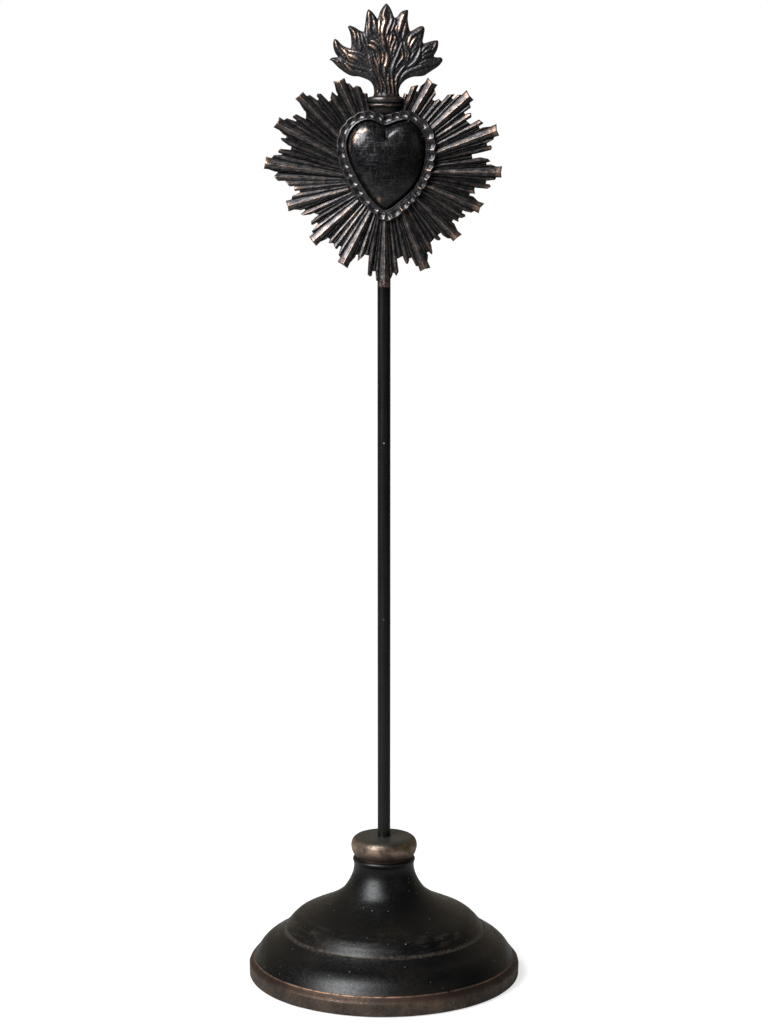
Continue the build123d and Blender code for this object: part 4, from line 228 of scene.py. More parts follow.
# flame strands: (x, z, half width, step above what it lies on) from tip to foot
STRANDS = [
    [(-12.66, 369.76, 0.34, 0.17), (-11.79, 368.90, 0.72, 0.31), (-11.06, 367.89, 0.97, 0.41), (-10.76, 366.59, 0.97, 0.43), (-10.69, 365.29, 0.84, 0.41), (-10.40, 363.84, 0.84, 0.39), (-9.60, 362.68, 0.84, 0.36), (-8.72, 361.67, 0.63, 0.27)],
    [(-9.74, 367.89, 0.29, 0.17), (-9.22, 366.15, 0.72, 0.31), (-9.08, 364.71, 0.76, 0.34), (-9.01, 363.55, 0.72, 0.32), (-8.57, 362.39, 0.55, 0.27)],
    [(-8.27, 367.45, 0.25, 0.17), (-7.98, 365.86, 0.63, 0.31), (-7.69, 364.42, 0.67, 0.34), (-6.81, 362.97, 0.76, 0.36), (-6.22, 362.10, 0.72, 0.34), (-5.64, 360.66, 0.72, 0.34), (-5.34, 359.21, 0.72, 0.32), (-5.05, 357.47, 0.72, 0.31), (-4.61, 355.88, 0.76, 0.31), (-3.88, 354.43, 0.63, 0.27)],
    [(-7.39, 367.89, 0.29, 0.14), (-6.95, 366.73, 0.63, 0.27), (-6.36, 365.43, 0.72, 0.31), (-6.07, 364.13, 0.63, 0.27), (-5.93, 362.97, 0.42, 0.20)],
    [(-18.18, 365.29, 0.29, 0.17), (-17.96, 363.84, 0.76, 0.31), (-17.45, 362.54, 0.84, 0.32), (-16.50, 361.24, 0.93, 0.31), (-15.47, 360.08, 0.93, 0.27), (-14.60, 358.92, 0.84, 0.24)],
    [(-15.76, 362.39, 0.29, 0.20), (-14.88, 361.67, 0.72, 0.34), (-14.23, 360.66, 0.93, 0.44), (-13.57, 359.93, 1.01, 0.48), (-12.10, 359.35, 0.97, 0.48), (-10.63, 358.85, 0.93, 0.46), (-9.46, 358.20, 0.76, 0.41), (-8.43, 357.33, 0.63, 0.31)],
    [(-13.86, 359.79, 0.51, 0.34), (-13.13, 358.63, 0.72, 0.37), (-12.10, 357.76, 0.72, 0.34), (-10.63, 357.18, 0.63, 0.27)],
    [(-12.68, 360.66, 0.84, 0.14), (-10.63, 360.08, 1.68, 0.17), (-8.43, 359.21, 2.00, 0.20), (-6.52, 357.91, 2.00, 0.20), (-5.35, 356.31, 1.68, 0.17), (-4.47, 354.57, 1.16, 0.14)],
    [(-16.93, 364.85, 0.29, 0.14), (-15.32, 362.97, 0.51, 0.17), (-13.27, 361.67, 0.55, 0.19), (-11.21, 361.09, 0.55, 0.20), (-9.16, 360.51, 0.55, 0.20), (-7.25, 359.64, 0.51, 0.20)],
    [(-19.59, 357.91, 0.25, 0.14), (-18.56, 357.98, 0.63, 0.27), (-17.54, 357.33, 0.80, 0.32), (-16.81, 356.31, 0.72, 0.29), (-16.07, 355.59, 0.51, 0.20)],
    [(-16.36, 358.20, 0.25, 0.17), (-15.92, 357.33, 0.55, 0.31), (-15.41, 356.46, 0.55, 0.31), (-14.90, 355.59, 0.38, 0.24)],
    [(-14.46, 356.60, 0.25, 0.20), (-13.72, 355.88, 0.63, 0.34), (-12.84, 354.86, 0.76, 0.36), (-11.82, 354.06, 0.76, 0.34), (-10.35, 353.70, 0.72, 0.27), (-8.73, 353.41, 0.63, 0.20)],
    [(-13.87, 357.04, 0.29, 0.17), (-12.11, 356.17, 0.55, 0.24), (-10.34, 355.59, 0.59, 0.26), (-8.43, 355.01, 0.59, 0.27), (-6.52, 354.57, 0.59, 0.27), (-5.05, 353.70, 0.84, 0.29), (-4.17, 352.54, 0.84, 0.27), (-3.29, 351.38, 0.76, 0.27)],
    [(-17.98, 356.02, 0.42, 0.07), (-15.78, 354.57, 1.05, 0.10), (-12.85, 353.27, 1.26, 0.14), (-9.91, 352.69, 1.26, 0.14), (-6.97, 352.54, 1.26, 0.17), (-4.76, 351.67, 1.05, 0.20)],
    [(-5.34, 363.41, 0.42, 0.34), (-4.61, 363.12, 0.80, 0.48), (-3.43, 362.54, 0.93, 0.51), (-2.55, 361.67, 0.93, 0.51), (-1.97, 360.37, 0.93, 0.48), (-1.67, 358.92, 0.84, 0.44), (-1.67, 357.62, 0.76, 0.41), (-1.82, 356.31, 0.55, 0.34)],
    [(-4.75, 364.85, 0.29, 0.17), (-3.72, 364.71, 0.63, 0.27), (-2.70, 363.98, 0.72, 0.31), (-1.52, 362.83, 0.76, 0.34), (-0.79, 361.53, 0.76, 0.36), (-0.35, 360.08, 0.76, 0.37), (-0.35, 358.63, 0.72, 0.34), (-0.64, 357.18, 0.63, 0.31)],
    [(-4.31, 360.95, 0.25, 0.27), (-3.87, 360.22, 0.59, 0.37), (-3.58, 358.92, 0.63, 0.41), (-3.14, 357.76, 0.67, 0.43), (-2.63, 356.89, 0.76, 0.44), (-2.26, 355.59, 0.76, 0.43), (-2.11, 353.99, 0.72, 0.39), (-1.82, 352.40, 0.67, 0.37), (-1.23, 350.94, 0.59, 0.34)],
    [(-2.85, 360.22, 0.21, 0.24), (-2.48, 359.21, 0.46, 0.32), (-2.33, 358.05, 0.46, 0.32), (-2.41, 357.33, 0.34, 0.27)],
    [(-5.19, 361.53, 0.25, 0.20), (-4.76, 360.08, 0.55, 0.27), (-4.61, 358.63, 0.59, 0.31), (-4.46, 357.18, 0.59, 0.31), (-4.17, 355.88, 0.63, 0.34), (-3.58, 354.72, 0.63, 0.34), (-2.85, 353.41, 0.63, 0.34), (-2.26, 351.81, 0.59, 0.31)],
    [(1.07, 377.85, 0.42, 0.17), (0.08, 375.93, 0.84, 0.34), (-0.16, 374.19, 1.05, 0.44), (0.38, 372.62, 1.14, 0.49), (0.09, 371.06, 1.09, 0.51), (-0.45, 369.33, 1.09, 0.53), (-0.57, 367.31, 1.09, 0.53), (-0.42, 365.57, 1.05, 0.51), (0.02, 363.84, 0.93, 0.48), (0.38, 362.39, 0.72, 0.41), (0.46, 361.24, 0.42, 0.31)],
    [(-4.01, 369.76, 0.25, 0.20), (-3.58, 368.90, 0.51, 0.31), (-2.55, 367.45, 0.59, 0.34), (-1.52, 366.15, 0.67, 0.36), (-0.79, 364.71, 0.72, 0.37), (-0.35, 363.12, 0.72, 0.39), (0.24, 361.67, 0.84, 0.44), (0.97, 360.22, 0.97, 0.51), (1.19, 358.63, 1.09, 0.54), (1.05, 357.04, 1.09, 0.54), (0.53, 355.30, 1.01, 0.51), (0.24, 353.70, 0.84, 0.44), (0.38, 352.10, 0.67, 0.37)],
    [(-3.58, 366.88, 0.25, 0.17), (-2.55, 365.57, 0.55, 0.24), (-1.38, 364.13, 0.59, 0.27), (-0.64, 362.39, 0.59, 0.29), (-0.06, 360.66, 0.55, 0.29)],
    [(-5.36, 375.93, 0.34, 0.14), (-5.77, 374.52, 0.84, 0.31), (-5.48, 372.94, 1.05, 0.37), (-5.48, 371.35, 1.01, 0.41), (-5.55, 369.62, 0.97, 0.41), (-5.26, 368.32, 0.84, 0.37), (-4.60, 366.88, 0.67, 0.31), (-3.87, 365.86, 0.46, 0.24)],
    [(-4.17, 374.13, 0.34, 0.17), (-3.50, 372.50, 0.80, 0.27), (-3.28, 370.77, 0.80, 0.29), (-2.99, 369.33, 0.72, 0.27), (-2.40, 368.17, 0.42, 0.20)],
    [(-6.65, 371.64, 0.25, 0.14), (-6.43, 369.91, 0.55, 0.20), (-6.44, 368.17, 0.63, 0.24), (-6.07, 366.73, 0.55, 0.20)],
    [(-1.81, 372.79, 0.34, 0.17), (-1.67, 370.77, 0.67, 0.24), (-1.74, 369.04, 0.67, 0.27), (-1.67, 367.31, 0.59, 0.27), (-1.38, 365.86, 0.42, 0.24)],
    [(1.43, 377.62, 0.29, 0.14), (2.50, 375.73, 0.76, 0.31), (3.15, 373.70, 0.97, 0.39), (2.83, 371.87, 0.97, 0.43), (2.02, 370.01, 0.88, 0.43), (1.22, 368.03, 0.76, 0.39), (0.78, 366.44, 0.51, 0.31)],
    [(4.15, 373.37, 0.25, 0.17), (3.93, 371.35, 0.72, 0.31), (3.42, 369.76, 0.72, 0.31), (2.83, 368.32, 0.55, 0.24)],
    [(1.66, 366.88, 0.29, 0.31), (1.36, 365.57, 0.59, 0.37), (1.73, 364.13, 0.51, 0.34), (2.03, 362.97, 0.34, 0.31)],
    [(2.90, 367.60, 0.29, 0.37), (2.66, 366.30, 0.67, 0.51), (2.36, 364.85, 0.72, 0.51), (2.17, 363.55, 0.55, 0.44), (2.10, 362.68, 0.34, 0.34)],
    [(3.42, 367.74, 0.25, 0.34), (4.15, 366.59, 0.67, 0.48), (4.08, 365.29, 0.72, 0.49), (3.57, 364.13, 0.72, 0.49), (2.98, 362.83, 0.72, 0.48), (2.69, 361.38, 0.63, 0.44), (2.61, 360.08, 0.46, 0.37), (2.83, 358.92, 0.29, 0.31)],
    [(4.59, 365.57, 0.42, 0.27), (4.81, 363.84, 0.76, 0.31), (4.37, 362.25, 0.84, 0.31), (3.86, 360.66, 0.76, 0.27), (3.42, 359.21, 0.51, 0.24)],
    [(6.57, 364.42, 0.25, 0.24), (6.28, 362.97, 0.59, 0.37), (5.70, 361.53, 0.67, 0.41), (5.04, 359.79, 0.76, 0.44), (4.38, 358.20, 0.88, 0.49), (3.79, 356.60, 0.97, 0.51), (3.28, 355.01, 0.93, 0.48), (2.98, 353.41, 0.76, 0.44), (2.84, 351.81, 0.59, 0.37)],
    [(6.43, 362.68, 0.25, 0.31), (6.72, 361.53, 0.55, 0.41), (7.02, 360.08, 0.63, 0.44), (6.87, 358.63, 0.67, 0.44), (6.07, 357.33, 0.67, 0.43), (5.19, 356.31, 0.55, 0.37), (4.60, 355.15, 0.38, 0.31)],
    [(7.53, 364.42, 0.25, 0.24), (7.75, 363.26, 0.55, 0.37), (8.12, 361.81, 0.59, 0.41), (8.27, 360.37, 0.59, 0.41), (8.20, 359.06, 0.59, 0.39), (8.27, 357.76, 0.42, 0.31)],
    [(8.26, 362.97, 0.21, 0.31), (8.85, 361.53, 0.55, 0.41), (9.22, 360.22, 0.59, 0.43), (9.00, 358.92, 0.55, 0.39), (8.64, 357.76, 0.34, 0.31)],
    [(8.92, 375.70, 0.34, 0.14), (7.52, 374.31, 1.05, 0.34), (6.71, 372.68, 1.39, 0.44), (6.27, 371.06, 1.47, 0.49), (5.84, 369.33, 1.26, 0.48), (5.47, 367.89, 0.84, 0.37), (5.32, 366.73, 0.51, 0.27)],
    [(9.05, 375.24, 0.29, 0.14), (8.84, 373.37, 0.84, 0.31), (8.54, 371.49, 1.09, 0.37), (8.03, 369.62, 1.09, 0.37), (7.52, 367.74, 0.84, 0.34), (7.09, 366.15, 0.59, 0.27)],
    [(5.03, 370.77, 0.29, 0.17), (4.59, 369.47, 0.63, 0.27), (5.03, 367.89, 0.72, 0.27), (5.62, 366.44, 0.72, 0.29), (6.35, 365.14, 0.51, 0.24)],
    [(14.70, 370.05, 0.29, 0.14), (13.53, 368.90, 0.84, 0.27), (12.22, 368.03, 0.84, 0.31), (10.75, 367.16, 0.84, 0.32), (9.73, 366.01, 0.84, 0.34), (9.29, 364.71, 0.76, 0.32), (9.14, 363.41, 0.59, 0.27)],
    [(12.37, 366.30, 0.34, 0.31), (11.41, 365.43, 0.72, 0.44), (10.68, 364.42, 0.84, 0.48), (10.02, 363.12, 0.72, 0.43), (9.73, 361.96, 0.42, 0.31)],
    [(13.83, 367.31, 0.63, 0.20), (13.10, 365.43, 1.09, 0.27), (12.37, 363.70, 1.18, 0.27), (11.49, 362.25, 0.97, 0.27), (10.76, 360.95, 0.63, 0.20)],
    [(15.15, 369.47, 0.29, 0.14), (15.08, 367.60, 0.67, 0.27), (14.57, 365.86, 0.80, 0.31), (13.98, 364.42, 0.76, 0.31), (13.40, 362.97, 0.59, 0.27)],
    [(13.40, 362.39, 0.29, 0.27), (13.40, 361.24, 0.76, 0.41), (12.97, 359.79, 0.97, 0.48), (12.24, 358.34, 1.05, 0.49), (11.36, 357.04, 0.93, 0.44), (10.18, 356.17, 0.67, 0.36), (9.16, 355.44, 0.42, 0.27)],
    [(12.23, 361.67, 0.25, 0.24), (11.57, 360.80, 0.55, 0.32), (10.76, 359.79, 0.55, 0.32), (10.03, 358.77, 0.38, 0.27)],
    [(20.00, 364.71, 0.25, 0.14), (19.27, 363.55, 0.67, 0.31), (18.69, 362.39, 0.67, 0.31), (18.10, 361.67, 0.46, 0.24)],
    [(17.07, 363.84, 0.25, 0.17), (16.04, 362.97, 0.67, 0.31), (14.87, 362.10, 0.72, 0.31), (14.29, 360.95, 0.55, 0.27)],
    [(17.51, 362.10, 0.25, 0.17), (16.19, 361.24, 0.67, 0.31), (15.17, 360.66, 0.63, 0.29), (14.44, 359.79, 0.42, 0.24)],
    [(18.98, 360.80, 0.25, 0.17), (17.52, 360.08, 0.59, 0.26), (15.90, 359.50, 0.63, 0.27), (14.58, 358.77, 0.55, 0.26)],
    [(20.37, 364.71, 0.25, 0.14), (20.15, 363.12, 0.63, 0.27), (19.57, 361.53, 0.67, 0.27), (18.69, 360.08, 0.55, 0.24)],
    [(21.78, 358.34, 0.29, 0.14), (20.32, 357.47, 0.84, 0.24), (18.26, 356.89, 0.88, 0.29), (16.21, 356.46, 0.84, 0.31), (14.30, 355.88, 0.80, 0.31), (12.68, 355.15, 0.80, 0.34), (10.92, 354.57, 0.88, 0.37), (9.45, 353.85, 0.88, 0.39), (7.98, 352.98, 0.80, 0.39), (6.95, 351.81, 0.72, 0.37), (6.37, 350.51, 0.63, 0.34)],
    [(21.93, 357.47, 0.34, 0.10), (20.47, 355.73, 1.05, 0.17), (17.98, 354.28, 1.18, 0.20), (15.33, 353.41, 1.22, 0.24), (12.39, 352.98, 1.18, 0.24), (10.04, 352.25, 1.05, 0.27), (8.28, 351.09, 0.93, 0.27)],
    [(19.73, 358.63, 0.25, 0.14), (17.52, 357.91, 0.72, 0.24), (15.32, 357.33, 0.72, 0.26), (13.56, 356.60, 0.59, 0.24)],
    [(7.69, 355.73, 0.25, 0.20), (6.80, 354.57, 0.63, 0.31), (5.78, 353.12, 0.72, 0.34), (4.90, 351.81, 0.67, 0.34), (4.46, 350.36, 0.59, 0.31)],
    [(-4.74, 354.39, 0.37, 0.34), (-3.47, 352.05, 0.60, 0.41), (-2.64, 349.71, 0.67, 0.44), (-2.41, 347.36, 0.67, 0.44), (-2.47, 345.02, 0.60, 0.41)],
    [(-2.37, 352.05, 0.37, 0.37), (-1.46, 350.29, 0.52, 0.48), (-0.92, 348.24, 0.52, 0.48), (-0.98, 345.31, 0.52, 0.44)],
    [(-1.04, 351.76, 0.30, 0.37), (-0.21, 349.71, 0.49, 0.48), (0.50, 347.95, 0.49, 0.51), (0.50, 345.16, 0.49, 0.48)],
    [(1.63, 352.63, 0.30, 0.37), (1.51, 350.29, 0.49, 0.48), (1.87, 347.95, 0.49, 0.51), (1.99, 345.16, 0.49, 0.48)],
    [(3.05, 351.76, 0.30, 0.37), (3.05, 349.41, 0.52, 0.48), (3.41, 347.36, 0.52, 0.48), (3.53, 345.02, 0.52, 0.44)],
    [(4.89, 351.17, 0.30, 0.34), (4.59, 349.12, 0.60, 0.41), (4.77, 347.07, 0.60, 0.44), (4.95, 344.87, 0.60, 0.41)],
]
# where the flame is rubbed to copper, set on the stretches where the light falls, so partly real rub and partly painted
# highlight: (x, z, radius, strength)
RUBS_AND_HIGHLIGHTS = [
    (-5.7, 371.0, 2.8, 0.60), (-5.9, 374.7, 1.7, 0.40), (-11.2, 367.6, 2.0, 0.80), (-14.3, 361.1, 1.7, 0.90), (-12.5, 359.5, 1.9, 0.90), (-10.9, 359.0, 1.5, 0.80),
    (-18.1, 363.7, 2.0, 0.60), (-4.1, 362.9, 2.0, 1.00), (-2.7, 360.8, 1.9, 0.40), (-0.6, 371.0, 2.6, 0.80), (-0.8, 368.2, 2.8, 0.80), (-0.3, 365.3, 2.6, 0.70),
    (0.9, 359.1, 2.4, 0.80), (0.6, 356.5, 2.4, 0.80), (-0.0, 353.7, 1.7, 0.40), (-2.8, 357.2, 1.5, 0.90), (-2.4, 355.2, 1.9, 0.70), (-2.2, 352.6, 1.7, 0.40),
    (-13.2, 355.2, 1.9, 0.70), (-17.7, 357.4, 1.9, 0.40), (-9.7, 362.7, 1.7, 0.40), (-12.9, 358.2, 1.3, 0.50), (-0.3, 375.4, 2.2, 0.50), (5.9, 370.4, 2.8, 0.80),
    (6.7, 372.7, 2.2, 0.70), (2.0, 365.8, 1.7, 0.80), (3.8, 366.0, 1.7, 0.60), (2.6, 362.6, 1.9, 0.60), (10.5, 364.6, 2.0, 0.80), (12.4, 359.1, 2.4, 0.35),
    (6.2, 359.1, 1.9, 0.40), (4.5, 358.1, 2.0, 0.35), (18.6, 363.2, 1.3, 0.50), (8.0, 370.1, 2.8, 0.28), (12.4, 364.3, 2.2, 0.25), (19.9, 363.2, 2.2, 0.30),
    (21.2, 357.4, 2.0, 0.28), (15.0, 367.5, 2.2, 0.20), (2.6, 372.1, 2.2, 0.25),
]

# ---------------------------------------------------------------- numbers and curves
def unit(v):
    n = math.hypot(v[0], v[1])
    return (v[0] / n, v[1] / n)


def lerp(a, b, t):
    return (a[0] + (b[0] - a[0]) * t, a[1] + (b[1] - a[1]) * t)


def smooth(x, a, b):
    t = np.clip((np.asarray(x, float) - a) / (b - a), 0, 1)
    return t * t * (3 - 2 * t)


def ripple(p, size, seed, count=12):
    """Smooth unevenness of about plus and minus 1 over points p, with features of this size."""
    rng = np.random.RandomState(seed)
    p = np.asarray(p, float)
    total = np.zeros(len(p))
    for _ in range(count):
        d = rng.normal(size=p.shape[1])
        d /= np.linalg.norm(d)
        total += np.sin(p @ d * (2 * math.pi / (size * rng.uniform(0.7, 1.6))) + rng.uniform(0, 2 * math.pi))
    return total / math.sqrt(count / 2) / 1.6


def curve(points, step, closed=False):
    """Catmull-Rom line through the points, at about this spacing; points may carry more than two numbers."""
    p = np.asarray(points, float)
    n = len(p)
    out = []
    for i in range(n if closed else n - 1):
        if closed:
            a, b, c, d = p[(i - 1) % n], p[i], p[(i + 1) % n], p[(i + 2) % n]
        else:
            b, c = p[i], p[i + 1]
            a = p[i - 1] if i else 2 * b - c
            d = p[i + 2] if i + 2 < n else 2 * c - b
        # centripetal spacing keeps sharp bends from looping
        ta = max(np.linalg.norm(b[:2] - a[:2]), 1e-6) ** 0.5
        tb = max(np.linalg.norm(c[:2] - b[:2]), 1e-6) ** 0.5
        tc = max(np.linalg.norm(d[:2] - c[:2]), 1e-6) ** 0.5
        m1 = (c - b) / tb - (c - a) / (ta + tb) + (b - a) / ta
        m2 = (c - b) / tb - (d - b) / (tb + tc) + (d - c) / tc
        m1, m2 = m1 * tb, m2 * tb
        k = max(1, int(round(np.linalg.norm(c[:2] - b[:2]) / step)))
        for j in range(k):
            t = j / k
            out.append((2 * t ** 3 - 3 * t ** 2 + 1) * b + (t ** 3 - 2 * t ** 2 + t) * m1
                       + (3 * t ** 2 - 2 * t ** 3) * c + (t ** 3 - t ** 2) * m2)
    if not closed:
        out.append(p[-1])
    return np.array(out)


def inside(points, ring):
    p, r = np.asarray(points, float), np.asarray(ring, float)
    hit = np.zeros(len(p), bool)
    for a, b in zip(r, np.roll(r, -1, axis=0)):
        cross = (a[1] > p[:, 1]) != (b[1] > p[:, 1])
        if abs(b[1] - a[1]) > 1e-12:
            hit ^= cross & (p[:, 0] < (b[0] - a[0]) * (p[:, 1] - a[1]) / (b[1] - a[1]) + a[0])
    return hit


def distance(points, line, closed=True):
    """Distance to a line, and where along it (segment number + share) the nearest point is."""
    p, r = np.asarray(points, float), np.asarray(line, float)
    best, where = np.full(len(p), 1e9), np.zeros(len(p))
    for i in range(len(r) if closed else len(r) - 1):
        a, b = r[i], r[(i + 1) % len(r)]
        d = b - a
        t = np.clip(((p - a) @ d) / max(d @ d, 1e-12), 0, 1)
        dist = np.linalg.norm(p - (a + t[:, None] * d), axis=1)
        near = dist < best
        best[near], where[near] = dist[near], i + t[near]
    return best, where


def smooth_max(values, k):
    v = np.maximum(np.asarray(values), 1e-6)
    return (v ** k).sum(0) ** (1 / k)


# ---------------------------------------------------------------- mesh building
def piece(name, verts, faces, material, nodes, fields=None, sharp=40.0, body="stand", flip=None):
    """A mesh object in the row's frame that stands for CAD nodes. verts are in millimetres."""
    mesh = bpy.data.meshes.new(name)
    mesh.from_pydata((np.asarray(verts, float) * MM).tolist(), [], [list(map(int, f)) for f in faces])
    for key, values in (fields or {}).items():
        made = mesh.attributes.new(key, "FLOAT", "POINT")
        made.data.foreach_set("value", np.asarray(values, np.float32))
    bm = bmesh.new()
    bm.from_mesh(mesh)
    bmesh.ops.recalc_face_normals(bm, faces=bm.faces)
    bm.to_mesh(mesh)
    bm.free()
    mesh.shade_smooth()
    mesh.set_sharp_from_angle(angle=math.radians(sharp))
    obj = bpy.data.objects.new(name, mesh)
    bpy.context.scene.collection.objects.link(obj)
    obj.data.materials.append(material)
    if body:
        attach(obj, body)
    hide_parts(*nodes)
    return obj


def triangulate(points, edges, ring):
    """Constrained triangles of the area inside the ring."""
    found = delaunay_2d_cdt([Vector((float(x), float(z))) for x, z in points], edges, [], 0, 1e-6, True)
    flat = np.array([(v.x, v.y) for v in found[0]])
    tri = np.array([tuple(f) for f in found[2]])
    a, b, c = flat[tri[:, 0]], flat[tri[:, 1]], flat[tri[:, 2]]
    area = (b[:, 0] - a[:, 0]) * (c[:, 1] - a[:, 1]) - (b[:, 1] - a[:, 1]) * (c[:, 0] - a[:, 0])
    keep = inside((a + b + c) / 3, ring) & (np.abs(area) > 1e-7)
    tri[area < 0] = tri[area < 0][:, ::-1]
    return flat, [tuple(int(i) for i in f) for f in tri[keep]], found[3]


def cavity(count, faces, height, rounds):
    """How far each point lies below the mean of what is round it, in mm: hollows above 0, crests below 0."""
    pairs = set()
    for f in faces:
        for i in range(len(f)):
            a, b = f[i], f[(i + 1) % len(f)]
            pairs.add((a, b) if a < b else (b, a))
    pairs = np.array(sorted(pairs))
    degree = np.maximum(np.bincount(pairs.ravel(), minlength=count), 1)
    mean = np.asarray(height, float)
    for _ in range(rounds):
        total = np.bincount(pairs[:, 0], mean[pairs[:, 1]], count) + np.bincount(pairs[:, 1], mean[pairs[:, 0]], count)
        mean = 0.5 * mean + 0.5 * total / degree
    return mean - height


def rim_of(faces):
    """Directed rim edges of a triangulation, chained into rings."""
    count = {}
    for f in faces:
        for a, b in zip(f, f[1:] + f[:1]):
            count[(a, b)] = count.get((a, b), 0) + 1
    after = {a: b for (a, b) in count if (b, a) not in count}
    rings = []
    while after:
        start = next(iter(after))
        ring, at = [], start
        while at in after:
            ring.append(at)
            at = after.pop(at)
        rings.append(ring)
    return rings


def cast_plate(points, faces, height, back_y, soften=0.0):
    """Closed body: the triangulated face at each point's height over a flat back, with upright walls."""
    n = len(points)
    top = np.column_stack([points[:, 0], back_y - height, points[:, 1]])
    rings = rim_of(faces)
    verts, out = [top], [tuple(f) for f in faces]
    back_points, back_edges, back_ids = [], [], []
    base = n
    for ring in rings:
        k = len(ring)
        low = np.column_stack([points[ring, 0], np.full(k, back_y), points[ring, 1]])
        verts.append(low)
        for i in range(k):
            j = (i + 1) % k
            out.append((ring[i], base + i, base + j, ring[j]))
        s = len(back_points)
        back_points += [tuple(points[q]) for q in ring]
        back_edges += [(s + i, s + (i + 1) % k) for i in range(k)]
        back_ids += [base + i for i in range(k)]
        base += k
    flat, tri, origin = triangulate(back_points, back_edges, back_points)
    lookup = {}
    for new, olds in enumerate(origin):
        lookup[new] = back_ids[olds[0]] if olds else None
    for f in tri:
        ids = [lookup[v] for v in f]
        if None not in ids and len(set(ids)) == 3:
            out.append(tuple(reversed(ids)))
    return np.vstack(verts), out


# ---------------------------------------------------------------- ray plate
US = {
    "M": (0.03, 0.17, 0.32, 0.43, 0.49, 0.51, 0.57, 0.68, 0.83, 0.97),
    "L": (0.05, 0.26, 0.40, 0.49, 0.51, 0.60, 0.76, 0.95),
    "R": (0.05, 0.24, 0.40, 0.49, 0.51, 0.60, 0.74, 0.95),
    "S": (0.05, 0.26, 0.42, 0.49, 0.51, 0.58, 0.74, 0.95),
    "V": (0.06, 0.32, 0.49, 0.51, 0.68, 0.94),
}


def ray_profile(kind, u, v, width):
    """Height over the back at u across and v along a strip of this width: pleats with flanks of about 28 degrees."""
    roof = min(1 - abs(2 * u - 1), 0.98) / 0.98
    rise = 0.5 * width * 0.54
    if kind == "M":
        return 1.75 + 0.15 * v + min(rise, 1.1) * roof ** 1.08
    if kind == "S":
        return 1.12 + 0.12 * v + min(rise * 1.1, 0.95) * roof ** 1.05
    if kind in "LR":
        return 1.30 + min(rise, 0.5) * roof
    return 0.82 + min(rise * 0.8, 0.42) * roof


